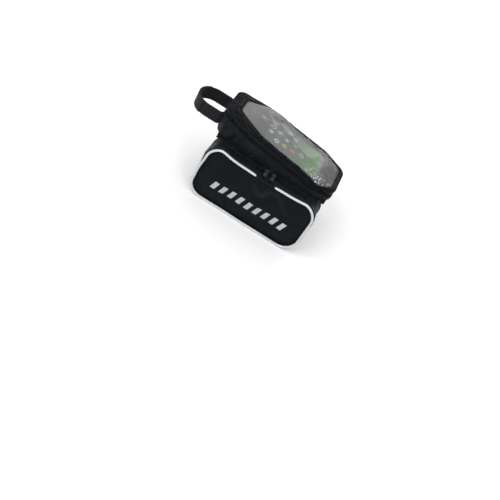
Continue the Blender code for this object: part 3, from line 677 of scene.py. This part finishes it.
# The face panels. Coated polyester over thin foam, so the face crowns and its cloth creases
# softly near the seams. A row of slanted silver bars, cut from retroreflective film, is
# pressed on across the middle.
FACE_CROWN = 0.0040
FACE_CROWN_POWER = 2.6
CROWN_REACH = 0.046
# The bars are laid out in millimetres on the flat cloth.
BAR_PITCH = 15.0
BAR_SHARE = 0.52
BAR_SLANT = 0.32
BAR_ROW_LENGTH = 132.0
BAR_HEIGHT = 15.0
BAR_DROP = 9.0
BAR_SHIFT = 2.5
BAR_EDGE = 0.25


def soft_step(tree, value, edge, width, falling=False):
    """0 to 1 as a value passes an edge, or 1 to 0 where it falls."""
    start, end = (1.0, 0.0) if falling else (0.0, 1.0)
    return remap(tree, value, edge - width, edge + width, start, end)


# The same coated oxford with the bars on it: the bars are a silver grey beside the matt cloth, and
# along the cloth's fold a paler grey is painted on as a painted highlight, standing for the light
# the fold catches.
face_cloth = woven("oxford_polyester_with_film_bars", "#080b10", "#12161c", THREAD_MM, 0.40, 0.01)
tree = face_cloth.node_tree
shader = tree.nodes["Principled BSDF"]
u_mm, v_mm = (times(tree, axis, 1000.0) for axis in on_cloth(tree))
lean = reckon(tree, "MULTIPLY_ADD", v_mm, -BAR_SLANT, u_mm)
shifted = reckon(tree, "ADD", lean, BAR_ROW_LENGTH / 2 + 1000 * BAR_PITCH)
phase = reckon(tree, "MODULO", shifted, BAR_PITCH)
inside = soft_step(tree, phase, BAR_EDGE, BAR_EDGE)
for value, edge, width in (
    (phase, BAR_PITCH * BAR_SHARE, BAR_EDGE),
    (reckon(tree, "ABSOLUTE", lean), BAR_ROW_LENGTH / 2, 0.2),
    (reckon(tree, "ABSOLUTE", v_mm), BAR_HEIGHT / 2, BAR_EDGE),
):
    inside = times(tree, inside, soft_step(tree, value, edge, width, falling=True))
# Painted highlight: along its fold the cloth is blended half way to a pale grey.
fold_highlight_share = add_node(tree, "Attribute", {"attribute_name": "painted_fold_highlight"}).outputs["Fac"]
cloth_colour = shader.inputs["Base Color"].links[0].from_socket
cloth_with_fold_highlight = blend(tree, times(tree, fold_highlight_share, 0.5), cloth_colour, "#292c30")
silver = blend(tree, noise(tree, 260.0, 5.0), "#9ea3aa", "#d2d6db")
feed(shader, "Base Color", blend(tree, inside, cloth_with_fold_highlight, silver))

FOLD = ((-9, -13), (-5, -23), (4, -28), (11, -25), (15, -15), (25, -11), (38, -15), (52, -30))
FOLD_HEIGHT = 0.0022
FOLD_SOFTNESS = 0.0036


def along_fold(x, z):
    """1 on the soft fold that runs down from the gap in the piping, fading to 0 beside it
    and towards its ends."""
    line = np.array(FOLD, float) / 1000
    count = len(line)
    knots = np.linspace(0, count - 1, 60)
    line = np.stack([np.interp(knots, range(count), line[:, axis]) for axis in (0, 1)], -1)
    for _ in range(6):
        line[1:-1] = (line[:-2] + line[1:-1] + line[2:]) / 3
    gaps = np.hypot(x[..., None] - line[:, 0], z[..., None] - line[:, 1])
    nearest = gaps.argmin(axis=-1)
    fade = np.sin(np.pi * (nearest + 2) / (len(line) + 4)) ** 0.7
    return np.exp(-((gaps.min(axis=-1) / FOLD_SOFTNESS) ** 2)) * fade


for name, side in SIDES:
    node = f"{name}_face_panel"
    low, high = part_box(node)
    depth = min(abs(low.y), abs(high.y)) + FABRIC / 2
    x, z = panel_grid(low, high, 0.0002, 96, 60)
    inside_by = edge_distance(x, z, low, high)
    rise = 1 - (1 - np.clip((inside_by - 0.0025) / CROWN_REACH, 0, 1)) ** FACE_CROWN_POWER
    place = np.stack([x, z * 1.25], -1)
    slack = np.clip(inside_by / 0.020, 0, 1)
    folds = 0.0005 * ripple(place, 0.060, 21 + side) + 0.00022 * ripple(place, 0.022, 5 + side)
    folds += FOLD_HEIGHT * along_fold(x, z)
    y = depth + FACE_CROWN * rise + folds * slack
    middle_z = (low.z + high.z) / 2
    points = slump(np.stack([x, side * y, z], -1), side)
    flat = np.stack([-side * (x - BAR_SHIFT / 1000), z - middle_z + BAR_DROP / 1000], -1)
    made = cloth(f"{name}_face", points, flat, face_cloth, FABRIC * 0.9)
    # Where the fold's painted highlight lies, kept on the points.
    painted_fold_highlight = made.data.attributes.new("painted_fold_highlight", "FLOAT", "POINT")
    painted_fold_highlight.data.foreach_set("value", (along_fold(x, z) * slack).reshape(-1).astype(np.float32))
    near_edge = np.flatnonzero(inside_by.reshape(-1) < 0.0045)
    settle(made, near_edge, 0.006, 0.0025)
    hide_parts(node)


# The piping. A cord under silver retroreflective film is sewn into the face's seam and
# stops short at the top, where plain binding closes the seam.
PIPING_PULLED = 0.87  # the film, drawn tight, is thinner than the room the part leaves for it
PIPING_INSET = 0.0025
PIPING_BREAK = (-0.013, 0.020)
BINDING_RADIUS = 0.0016

piping_film, tree, shader = new_material(
    "retroreflective_film_over_cord", metallic=0.35, sheen_weight=0.2, roughness=0.38
)
grain = noise(tree, 900.0, 3.0)
feed(shader, "Base Color", blend(tree, grain, "#b2b6bb", "#eceef0"))
feed(shader, "Normal", bump(tree, grain, 0.25, 0.0002))


def tube(name, path, radius, sides, up, material):
    """A round body along a path. up is a direction, or one for each point, that no part of
    the path runs along; radius is one number, or one for each point."""
    path = np.asarray(path, float)
    ahead = np.roll(path, -1, axis=0) - np.roll(path, 1, axis=0)
    ahead[0], ahead[-1] = path[1] - path[0], path[-1] - path[-2]
    ahead /= np.linalg.norm(ahead, axis=1, keepdims=True)
    beside = np.cross(ahead, np.broadcast_to(np.asarray(up, float), ahead.shape))
    beside /= np.linalg.norm(beside, axis=1, keepdims=True)
    over = np.cross(beside, ahead)
    angles = np.arange(sides) * 2 * math.pi / sides
    radius = np.broadcast_to(np.asarray(radius, float), (len(path),))[:, None, None]
    rings = path[:, None] + radius * (
        np.cos(angles)[None, :, None] * beside[:, None]
        + np.sin(angles)[None, :, None] * over[:, None]
    )
    index = np.arange(len(path) * sides).reshape(len(path), sides)
    here, following = index[:-1], index[1:]
    quads = np.stack(
        [here, following, np.roll(following, -1, axis=1), np.roll(here, -1, axis=1)], axis=-1
    )
    faces = quads.reshape(-1, 4).tolist()
    faces += [index[0].tolist(), index[-1][::-1].tolist()]
    return new_mesh(name, rings.reshape(-1, 3).tolist(), faces, material)


for name, side in SIDES:
    low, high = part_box(f"{name}_gusset")
    level = side * (abs(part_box(f"{name}_piping")[0 if side < 0 else 1].y) - PIPING_RADIUS)
    loop, _, _ = pannier_loop(low, high, 0.0016, PIPING_INSET, PIPING_BREAK)
    top = loop[:, 1].max()
    first = np.argmin(np.hypot(loop[:, 0] - PIPING_BREAK[0], loop[:, 1] - top))
    run = np.roll(loop, -first, axis=0)
    last = np.argmin(np.hypot(run[:, 0] - PIPING_BREAK[1], run[:, 1] - top))
    run = run[: last + 1]
    path = np.column_stack([run[:, 0], np.full(len(run), level), run[:, 1]])
    path[:, 1] += side * 0.00025 * ripple(path[:, [0, 2]], 0.05, 31 + side)
    path = slump(path, side)
    share = np.minimum(np.arange(len(path)), np.arange(len(path))[::-1]) / 2
    radius = PIPING_RADIUS * PIPING_PULLED * np.clip(0.7 + 0.3 * share, 0, 1)
    made = tube(f"{name}_piping_cord", path, radius, 14, (0, 1, 0), piping_film)
    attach(made, "root")
    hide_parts(f"{name}_piping")
    xs = np.linspace(PIPING_BREAK[0] + 0.0006, PIPING_BREAK[1] - 0.0006, 24)
    path = slump(np.column_stack([xs, np.full(24, level), np.full(24, top)]), side)
    made = tube(f"{name}_binding", path, BINDING_RADIUS, 12, (0, 1, 0), polyester_painted_lighter)
    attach(made, "root")
    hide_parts(f"{name}_edge_binding")


# The zips. Each has two woven tapes and two coils of nylon wire, sewn to the tapes, which
# run side by side along the middle of the opening.
COIL_RADIUS = 0.00105
SLOT_WIDTH = 0.0010
TAPE_THICKNESS = 0.0008
TAPE_WIDTH = 0.0035
COIL_DEPTH = FABRIC + 0.0003 + TAPE_THICKNESS / 2
COIL_OFFSET = SLOT_WIDTH / 2 + COIL_RADIUS
TAPE_START = COIL_OFFSET + COIL_RADIUS + 0.0003
COIL_PITCH = 0.0014
WIRE_RADIUS = 0.00030
TURN_STEPS = 10

# Nylon monofilament: smooth and black with small sharp glints.
nylon, tree, shader = new_material("nylon_monofilament", roughness=0.28)
feed(shader, "Base Color", linear("#101113"))
zip_tape = woven("zip_tape_cloth", "#0b0c0e", "#131417", 0.7, 0.75, 0.03, relief=0.7)


def coil(name, node, path, up):
    """A coil of wire whose turns follow a path; up is square to the zip's face."""
    path, along = spaced(path, COIL_PITCH / TURN_STEPS)
    ahead = np.gradient(path, axis=0)
    ahead /= np.linalg.norm(ahead, axis=1, keepdims=True)
    over = np.broadcast_to(np.asarray(up, float), ahead.shape)
    over = over - (over * ahead).sum(1, keepdims=True) * ahead
    over /= np.linalg.norm(over, axis=1, keepdims=True)
    beside = np.cross(over, ahead)
    turn = (2 * math.pi * along / COIL_PITCH)[:, None]
    out = np.cos(turn) * over + np.sin(turn) * beside
    line = path + out * (COIL_RADIUS - WIRE_RADIUS)
    made = tube(name, line, WIRE_RADIUS, 6, out, nylon)
    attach(made, "root")
    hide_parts(node)


for name, side in SIDES:
    for place in ("inner", "outer"):
        low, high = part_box(f"{name}_zip_tape_{place}")
        width = high.y - low.y
        xs, along = spaced([(low.x, 0, 0), (high.x, 0, 0)], 0.002)
        path = xs + np.array([0, (low.y + high.y) / 2, (low.z + high.z) / 2])
        points, flat = grid_of(path, (0, width, 0), 4), flat_of(along, width, 4)
        made = cloth(f"{name}_tape_{place}", points, flat, zip_tape, TAPE_THICKNESS * 0.9)
        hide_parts(f"{name}_zip_tape_{place}")
        low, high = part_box(f"{name}_zip_coil_{place}")
        middle, level = (low.y + high.y) / 2, (low.z + high.z) / 2
        path = [(low.x, middle, level), (high.x, middle, level)]
        coil(f"{name}_coil_{place}", f"{name}_zip_coil_{place}", path, (0, 0, 1))


# The sliders and their pulls. The sliders are zinc castings under black enamel; the pulls
# are moulded in soft PVC and hang in the sliders' bridges.
enamel, tree, shader = new_material(
    "black_enamel_on_zinc", roughness=0.30, metallic=0.15, coat_weight=0.35, coat_roughness=0.2
)
chipped = soft_step(tree, noise(tree, 700.0, 4.0), 0.72, 0.03)
feed(shader, "Base Color", blend(tree, chipped, "#17181a", "#6d6f72"))
# Soft PVC from a polished mould, handled until it is a little greasy.
soft_pvc, tree, shader = new_material("moulded_soft_pvc", roughness=0.42)
feed(shader, "Base Color", blend(tree, noise(tree, 300.0, 3.0), "#121315", "#26282b"))
for node, obj in cad.items():
    if "slider" in node or "_pull_" in node:
        obj.data.materials.clear()
        obj.data.materials.append(enamel if "slider" in node else soft_pvc)
        edges = obj.modifiers.new("edges", "BEVEL")
        edges.width = 0.00018
        edges.segments = 2
        edges.limit_method = "ANGLE"
        edges.angle_limit = math.radians(35)


# The pouch. Its floor and its wall are coated polyester; the wall is a strip sewn round the
# floor, which falls in soft folds because nothing stiffens it.
POUCH_CORNERS = (
    (-0.104, 0.031, 0.016),
    (-0.050, 0.046, 0.050),
    (0.062, 0.046, 0.040),
    (0.101, 0.033, 0.016),
)
POUCH_LEFT = tuple((x, -half, radius) for x, half, radius in POUCH_CORNERS)
LID_HEIGHT = 0.033
LID_SLOPE = 0.13
LID_THICKNESS = 0.0016
LID_BAND_HEIGHT = 0.003
LID_ARCH = 0.0035
SEAM_GAP = 0.0003
ZIP_FRONT_X = -0.085
LID_ANGLE = math.atan(LID_SLOPE)
WALL_SAG = 0.0016
POUCH_PULLS = (-0.044, 0.060)  # where the pulls hang in front of the wall


def pouch_loop(spacing, inset=0.0):
    """The plan of the pouch, anticlockwise from its front left corner, inset."""
    points, normals, along = rounded(POUCH_LEFT + POUCH_CORNERS[::-1], spacing)
    return points - normals * inset, normals, along


def lid_top(x):
    """The height of the lid's sloping plane."""
    return LID_HEIGHT - LID_SLOPE * x


def zip_level(x):
    """The height of the middle of the pouch's zip."""
    return lid_top(x) - LID_THICKNESS - SEAM_GAP - LID_BAND_HEIGHT - ZIP_OPENING / 2


def spine_of(line, front, rear):
    """For each point of an outline, a place on the line down its middle."""
    return np.stack([np.clip(line[:, 0], front, rear), np.zeros(len(line))], -1)


def sewn_rows(rows, columns):
    """The first and the last row of a sheet's points, where it is sewn."""
    return [*range(columns), *range((rows - 1) * columns, rows * columns)]


low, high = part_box("pouch_floor")
loop, _, _ = pouch_loop(0.003)
shares = np.linspace(0, 0.999, 24)[:, None, None]
plan = loop[None] * (1 - shares) + spine_of(loop, -0.05, 0.05)[None] * shares
points = np.concatenate([plan, np.full((*plan.shape[:2], 1), (low.z + high.z) / 2)], -1)
pouch_floor = cloth("pouch_floor_cloth", points, plan, polyester_painted_lighter, FABRIC * 0.9, closed=True)
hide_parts("pouch_floor")

floor_top = high.z
loop, normals, along = pouch_loop(0.0022, FABRIC / 2)
shares = np.linspace(0, 1, 22)
foot = np.full(len(loop), floor_top + SEAM_GAP)
head = zip_level(loop[:, 0]) - ZIP_OPENING / 2
z = foot + (head - foot) * shares[:, None]
x, y = (np.broadcast_to(loop[:, axis], z.shape) for axis in (0, 1))
tall = np.clip((head - foot) / 0.02, 0, 1)
folds = ripple(np.stack([x, y, z * 1.6], -1), 0.045, 41)
fine = ripple(np.stack([x, y, z * 0.6], -1), 0.018, 43)
push = np.sin(np.pi * shares)[:, None] * tall * (0.0006 + WALL_SAG * 0.55 * folds + 0.0003 * fine)
points = np.stack([x + normals[:, 0] * push, y + normals[:, 1] * push, z], -1)
flat = np.stack([np.broadcast_to(along, z.shape), z], -1)
pouch_wall = cloth("pouch_wall_cloth", points, flat, polyester_painted_lighter, FABRIC * 0.9, closed=True)
settle(pouch_wall, sewn_rows(*z.shape), 0.03, 0.0035)
# The pouch's pulls hang on the right and keep the wall's folds behind them.
for vertex in pouch_wall.data.vertices:
    if POUCH_PULLS[0] < vertex.co.x < POUCH_PULLS[1]:
        vertex.co.y = min(vertex.co.y, POUCH_CORNERS[1][1] - FABRIC / 2)
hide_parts("pouch_wall")


# The pouch's zip. It runs from the front of the left side round the rear to the front of the
# right side, and a strip of lining across the front is the lid's hinge.
def part_of(loop, low_x, high_x, open_at_rear=False):
    """The stretch of a closed path in plan between two values of x, in one run."""
    start = int(np.argmax(loop[:, 0])) if open_at_rear else int(np.argmin(loop[:, 0]))
    run = np.roll(loop, -start, axis=0)
    keep = (run[:, 0] >= low_x) & (run[:, 0] <= high_x)
    return run[keep]


def upright(plan, levels):
    """Points over a line in plan, one row of them for each row of levels."""
    x, y = (np.broadcast_to(plan[:, axis], levels.shape) for axis in (0, 1))
    return np.stack([x, y, levels], -1)


line, _, _ = pouch_loop(0.0008, COIL_DEPTH)
line = part_of(line, ZIP_FRONT_X, 1.0)
for place, sign in (("lower", -1), ("upper", 1)):
    path = np.column_stack([line, zip_level(line[:, 0]) + COIL_OFFSET * sign])
    coil(f"pouch_coil_{place}", f"pouch_zip_coil_{place}", path, (0, 0, 1))
    run, along = spaced(line, 0.002)
    near = zip_level(run[:, 0]) + TAPE_START * sign
    points = upright(run, np.linspace(0, TAPE_WIDTH, 4)[:, None] * sign + near)
    flat = flat_of(along, TAPE_WIDTH, 4)
    made = cloth(f"pouch_tape_{place}", points, flat, zip_tape, TAPE_THICKNESS * 0.9)
    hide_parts(f"pouch_zip_tape_{place}")

line, _, _ = pouch_loop(0.0012, FABRIC * 1.5 + SEAM_GAP)
line, along = spaced(part_of(line, -1.0, ZIP_FRONT_X - SEAM_GAP, open_at_rear=True), 0.0015)
hinge_reach = ZIP_OPENING / 2 + LID_BAND_HEIGHT - SEAM_GAP
rows = zip_level(line[:, 0]) + np.linspace(-hinge_reach, hinge_reach, 9)[:, None]
flat = flat_of(along, 2 * hinge_reach, 9)
hinge = cloth("lid_hinge_cloth", upright(line, rows), flat, lining, FABRIC * 0.9)
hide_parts("lid_hinge")


# The lid. A band stands over the zip and a border of coated polyester slopes up from it to
# the window, whose clear film is lapped under the border and sewn there.
WINDOW_LEFT = (
    (-0.084, -0.0170, 0.010),
    (-0.036, -0.0375, 0.040),
    (0.069, -0.0412, 0.020),
    (0.093, -0.0285, 0.012),
)
WINDOW_RIGHT = (
    (0.093, 0.0275, 0.012),
    (0.060, 0.0415, 0.035),
    (-0.040, 0.0395, 0.040),
    (-0.085, 0.0200, 0.010),
)
FILM_CROWN = 0.0100
FILM_CROWN_POWER = 2.5
FILM_RIDGE = (-0.0216, 0.048)
FILM_SWELL = 0.0055
FILM_THICKNESS = 0.0005
SWELL_PLACE = ((-0.040, 0.036), (0.026, 0.016))
ROLL_PLACE = (0.073, 0.017)
ROLL_OUT = 0.0020
ROLL_DOWN = 0.0030
ARC_STEPS = 8
RUN_STEPS = 14
lid_frame = Matrix.Translation((0, 0, LID_HEIGHT)) @ Matrix.Rotation(LID_ANGLE, 4, "Y")
lid_turn = np.array(lid_frame.to_3x3())
lid_normal = lid_turn[:, 2]


def over_lid(plan, height):
    """Points of the plan on the sloping lid plane, at heights over it. The left edge rolls
    out and down behind the phone, where the film's slack gathers."""
    x, y = plan[..., 0], plan[..., 1]
    roll = hump(x, *ROLL_PLACE) * np.clip((-y - 0.024) / 0.014, 0, 1)
    over = np.broadcast_to(height, x.shape) - ROLL_DOWN * roll
    local = np.stack([x / math.cos(LID_ANGLE), y - ROLL_OUT * roll, over], -1)
    return local @ lid_turn.T + np.array(lid_frame.translation)


loop, _, along = pouch_loop(0.0022, FABRIC / 2)
base = zip_level(loop[:, 0]) + ZIP_OPENING / 2
rows = base + np.linspace(0, LID_BAND_HEIGHT, 5)[:, None]
flat = np.stack([np.broadcast_to(along, rows.shape), rows], -1)
points = upright(loop, rows)
band = cloth("lid_band_cloth", points, flat, polyester_painted_lighter, FABRIC * 0.9, closed=True)
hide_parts("lid_band")


def stations(corners):
    """As many points and outward normals on any outline of the same corners, so that two
    outlines pair up point by point."""
    knots = []
    for i in range(len(corners)):
        centre, radius, normal, turn = corner_arc(corners, i)
        for step in range(ARC_STEPS + 1):
            turned = Matrix.Rotation(turn * step / ARC_STEPS, 2) @ normal
            knots.append((centre + turned * radius, turned))
    points, normals = [], []
    for i, (here, normal) in enumerate(knots):
        ahead, next_normal = knots[(i + 1) % len(knots)]
        count = RUN_STEPS if (i + 1) % (ARC_STEPS + 1) == 0 else 1
        for step in range(count):
            points.append(here.lerp(ahead, step / count))
            normals.append(normal.lerp(next_normal, step / count).normalized())
    return np.array(points), np.array(normals)


edge, _ = stations(POUCH_LEFT + POUCH_CORNERS[::-1])
rim, rim_normal = stations(WINDOW_LEFT + WINDOW_RIGHT)
across = np.linalg.norm(rim - edge, axis=1)
ring_along = np.concatenate([[0], np.cumsum(np.linalg.norm(np.diff(edge, axis=0), axis=1))])


def on_border(shares, depth=0.0):
    """Rows of points on the sloping border, from its edge to the window, at a depth."""
    shares = np.asarray(shares, float)[:, None]
    plan = edge[None] * (1 - shares[..., None]) + rim[None] * shares[..., None]
    return over_lid(plan, LID_ARCH * shares - LID_THICKNESS / 2 - depth)


def across_border(share, depth):
    """The row of points a share of the way over the border, or a share for each point."""
    share = np.broadcast_to(share, across.shape)[:, None]
    return on_border([0.0], depth)[0] * (1 - share) + on_border([1.0], depth)[0] * share


shares = np.linspace(0, 1, 14)
border = on_border(shares)
soft = np.sin(np.pi * shares)[:, None]
lift = soft * (0.0003 + 0.0004 * ripple(border, 0.03, 51))
border = border + lift[..., None] * lid_normal
flat = np.stack([np.broadcast_to(ring_along, lift.shape), shares[:, None] * across], -1)
# The border is of the same oxford, but its colour is painted darker than the rest: painted shade
# that takes back the extra light falling on its upward face.
lid_cloth_painted_darker = woven("oxford_polyester_of_the_lid_painted_darker", "#050609", "#0d0f13", THREAD_MM, 0.50, 0.0)
thick = LID_THICKNESS * 0.8
lid_border = cloth("lid_border_cloth", border, flat, lid_cloth_painted_darker, thick, closed=True)
settle(lid_border, sewn_rows(*lift.shape), 0.02, 0.001)
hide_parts("lid_border")

# Clear flexible PVC, hazed by handling: it scatters a pale grey over what lies under it,
# most of all in front of the phone, and its creases throw soft lights.
film, tree, shader = new_material("flexible_pvc_film")
x, y, _ = add_node(tree, "SeparateXYZ", None, {0: own_space(tree)}).outputs
cloudy = noise(tree, 26.0, 3.0, distortion=1.2)
crazed = noise(tree, 90.0, 3.0, distortion=1.6)
crumpled = noise(tree, 420.0, 2.0, distortion=0.8)
rear = soft_step(tree, x, 0.047, 0.016)
gathered = times(tree, rear, soft_step(tree, y, -0.027, 0.008, falling=True))
crinkle = bump(tree, crazed, 0.22, 0.0010)
feed(shader, "Normal", bump(tree, crumpled, gathered, 0.0022, crinkle))
feed(shader, "Roughness", reckon(tree, "MULTIPLY_ADD", gathered, -0.12, 0.24))
# Painted highlights: where the film was crumpled, white specks along its creases stand for the
# glints they throw, and are made nearly opaque.
painted_glints = times(tree, gathered, soft_step(tree, crumpled, 0.57, 0.05))
clouds = blend(tree, cloudy, "#686a69", "#868786")
feed(shader, "Base Color", blend(tree, painted_glints, clouds, "#f4f6f6"))
ahead = remap(tree, x, -0.060, -0.025, 0.86, 0.50)
behind = remap(tree, x, 0.060, 0.078, 0.12, 0.22)
haze = reckon(tree, "MULTIPLY_ADD", cloudy, 0.30, ahead, clamp=True)
haze = reckon(tree, "SUBTRACT", haze, behind, clamp=True)
feed(shader, "Alpha", reckon(tree, "MAXIMUM", haze, times(tree, painted_glints, 0.85)))

FILM_SEAM = 0.003
FILM_LAP = 0.0012
FILM_GAP = 0.0005
FILM_SEWN_ROWS = 4
FILM_END = 0.93
FILM_OVER_PHONE = 0.0006
film_depth = (LID_THICKNESS + FILM_THICKNESS) / 2 + FILM_GAP
rows = [across_border(1 - FILM_SEAM / across, film_depth), on_border([1.0], film_depth)[0]]
start = rim - rim_normal * FILM_LAP
spine = spine_of(rim, *FILM_RIDGE)
edge_height = LID_ARCH - LID_THICKNESS / 2 - film_depth
for share in np.concatenate([np.linspace(0, 0.2, 10)[:-1], np.linspace(0.2, FILM_END, 31)]):
    plan = start * (1 - share) + spine * share
    height = edge_height + FILM_CROWN * (1 - (1 - share) ** FILM_CROWN_POWER)
    swell = hump(plan[:, 0], *SWELL_PLACE[0]) * hump(plan[:, 1], *SWELL_PLACE[1])
    height = height + FILM_SWELL * swell * min(1.0, share / 0.12)
    points = over_lid(plan, height)
    slack = min(1.0, share / 0.25)
    dents = 0.0006 * ripple(plan, 0.034, 61) + 0.00035 * ripple(plan, 0.014, 63, 12)
    rows.append(points + (slack * (dents - 0.0004))[:, None] * lid_normal)
rows = np.stack(rows)
window = cloth("window_sheet", rows, rows[..., :2], film, FILM_THICKNESS, closed=True)
# The rows close in on a line along the middle, where a strip joins the left half's last row
# to the right half's. Station i has its mirror image at station mirror - i.
count = len(rim)
last_row = (len(rows) - 1) * count
mirror = count - RUN_STEPS
whole = bmesh.new()
whole.from_mesh(window.data)
whole.verts.ensure_lookup_table()
for i in range((mirror + count) // 2, mirror // 2 + count):
    ring = [i % count, (i + 1) % count, (mirror - i - 1) % count, (mirror - i) % count]
    face = whole.faces.new([whole.verts[last_row + k] for k in dict.fromkeys(ring)])
    face.smooth = True
whole.normal_update()
whole.to_mesh(window.data)
whole.free()
sewn = FILM_SEWN_ROWS * count
settle(window, list(range(sewn)), 0.012, 0.0035, pressure=0.4)
to_lid = lid_frame.inverted()
for vertex in window.data.vertices[sewn:]:
    local = to_lid @ vertex.co
    local.z = max(local.z, FILM_OVER_PHONE)
    vertex.co = lid_frame @ local
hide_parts("window_film")
low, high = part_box("window_film")


# The pocket and the phone. A sling of lining cloth under the border holds the phone flat
# against the film; the screen is lit.
POCKET_INSET = 0.0067
POCKET_FABRIC = 0.0012
PHONE = {"length": 0.138, "width": 0.068, "thickness": 0.008, "corner": 0.009, "x": -0.003}
PHONE_TOP = -0.0010
SCREEN_MARGIN = 0.0016
rim_depth = film_depth + (FILM_THICKNESS + POCKET_FABRIC / 2) / 2 + SEAM_GAP
mouth = across_border(POCKET_INSET / across, rim_depth)
base_height = PHONE_TOP - PHONE["thickness"] - SEAM_GAP - POCKET_FABRIC / 2
over = (mouth - np.array(lid_frame.translation)) @ lid_normal
bottom = mouth + (base_height - over)[:, None] * lid_normal
rows = [mouth * (1 - s) + bottom * s for s in np.linspace(0, 1, 6)]
spine = over_lid(spine_of(bottom, -0.04, 0.05), base_height)
rows += [bottom * (1 - s) + spine * s for s in np.linspace(0, 0.999, 20)[1:]]
rows = np.stack(rows)
pocket = cloth("pocket_cloth", rows, rows[..., :2], lining, POCKET_FABRIC * 0.9, closed=True)
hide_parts("phone_pocket")
low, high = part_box("phone_pocket")

# Toughened glass with a thin black enamel border.
glass, tree, shader = new_material("toughened_glass_black", roughness=0.08, coat_weight=0.4)
feed(shader, "Base Color", linear("#0b0c0e"))
cad["phone"].data.materials.clear()
cad["phone"].data.materials.append(glass)

# A lit display: a grey page that turns green towards its foot, with plain rings and discs,
# bright enough to show through the haze of the film.
display, tree, shader = new_material("lit_display", roughness=0.1)
u_mm, v_mm = (times(tree, axis, 1000.0) for axis in on_cloth(tree))
picture = blend(tree, remap(tree, u_mm, 8.0, 62.0, 0.0, 1.0), "#6f7672", "#4fae2c")
offset = add_node(tree, "CombineXYZ", None, {0: u_mm, 1: v_mm}).outputs[0]


def mark(picture, centre, radius, colour, hollow=0.0):
    """Lays a disc on the picture, or a ring where hollow is its inner radius."""
    ends = {0: offset, 1: (*centre, 0.0)}
    far = add_node(tree, "VectorMath", {"operation": "DISTANCE"}, ends).outputs["Value"]
    shape = soft_step(tree, far, radius, 0.2, falling=True)
    if hollow:
        shape = times(tree, shape, soft_step(tree, far, hollow, 0.2))
    return blend(tree, shape, picture, colour)


for centre, radius, colour, hollow in (
    ((-29, 23), 4.6, "#f4f6f6", 3.2),
    ((-28, 9), 4.8, "#f4f6f6", 3.3),
    ((-27, -5), 4.6, "#ffffff", 0.0),
    ((-12, -16), 4.6, "#ffffff", 2.0),
    ((-14, 7), 4.2, "#cfd5d4", 0.0),
    ((1, 2), 4.2, "#cfd5d4", 0.0),
    ((0, 24), 4.2, "#c9d0ce", 0.0),
    ((13, 18), 4.2, "#c3ccc7", 0.0),
    ((2, -14), 4.6, "#f5d531", 0.0),
    ((17, -11), 4.6, "#ff8b35", 0.0),
    ((32, -6), 4.2, "#ffffff", 2.6),
    ((17, 4), 4.0, "#b9c4bb", 0.0),
):
    picture = mark(picture, centre, radius, colour, hollow)
feed(shader, "Base Color", picture)
feed(shader, "Emission Color", picture)
feed(shader, "Emission Strength", 0.9)

SCREEN_LIFT = 0.00008
half_length, half_width = (PHONE[key] / 2 - SCREEN_MARGIN for key in ("length", "width"))
signs = ((-1, -1), (1, -1), (1, 1), (-1, 1))
corner = PHONE["corner"] - SCREEN_MARGIN
outline, _, _ = rounded([(half_length * a, half_width * b, corner) for a, b in signs], 0.002)
level = np.full(len(outline), PHONE_TOP + SCREEN_LIFT)
local = np.column_stack([outline[:, 0] + PHONE["x"], outline[:, 1], level])
points = local @ lid_turn.T + np.array(lid_frame.translation)
screen = new_mesh("screen", points.tolist(), [tuple(range(len(points)))], display, outline)
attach(screen, "root")


# The stitching. Black polyester thread, in a lockstitch 3 mm long, holds the border to the
# film under it. Each stitch is a short round body, sunk at both ends.
STITCH = 0.003
THREAD_RADIUS = 0.00024
STITCH_SIDES = 6
# Share of the length, rise and size of each ring of a stitch, in the thread's radius.
STITCH_RINGS = ((0.08, -0.6, 0.7), (0.3, 0.25, 1), (0.7, 0.25, 1), (0.92, -0.6, 0.7))
SEAM_PLACE = 0.72
thread, tree, shader = new_material("polyester_thread", roughness=0.55, sheen_weight=0.3)
feed(shader, "Base Color", linear("#25272b"))


def stitches(name, path, up):
    """A row of stitches that lie on a path, one for each of its steps."""
    path, _ = spaced(path, STITCH)
    verts, faces = [], []
    up = np.broadcast_to(np.asarray(up, float), path.shape)
    radius, sides = THREAD_RADIUS, STITCH_SIDES
    for i, (start, end) in enumerate(zip(path[:-1], path[1:])):
        ahead = end - start
        length = np.linalg.norm(ahead)
        ahead = ahead / length
        over = up[i] - ahead * (up[i] @ ahead)
        over /= np.linalg.norm(over)
        beside = np.cross(ahead, over)
        for share, rise, size in STITCH_RINGS:
            centre = start + ahead * length * share + over * radius * rise
            for angle in np.arange(sides) * 2 * math.pi / sides:
                verts.append(
                    centre + radius * size * (math.cos(angle) * beside + math.sin(angle) * over)
                )
        first = len(STITCH_RINGS) * sides * i
        last = first + (len(STITCH_RINGS) - 1) * sides
        for ring in range(first, last, sides):
            for k in range(sides):
                after = ring + (k + 1) % sides
                faces.append((ring + k, after, sides + after, ring + sides + k))
        faces.append(tuple(range(first + sides - 1, first - 1, -1)))
        faces.append(tuple(range(last, last + sides)))
    obj = new_mesh(name, [tuple(v) for v in verts], faces, thread)
    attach(obj, "root")


seam = across_border(SEAM_PLACE, -LID_THICKNESS * 0.45)
stitches("border_stitches", np.concatenate([seam, seam[:1]]) + lid_normal * 0.0002, lid_normal)
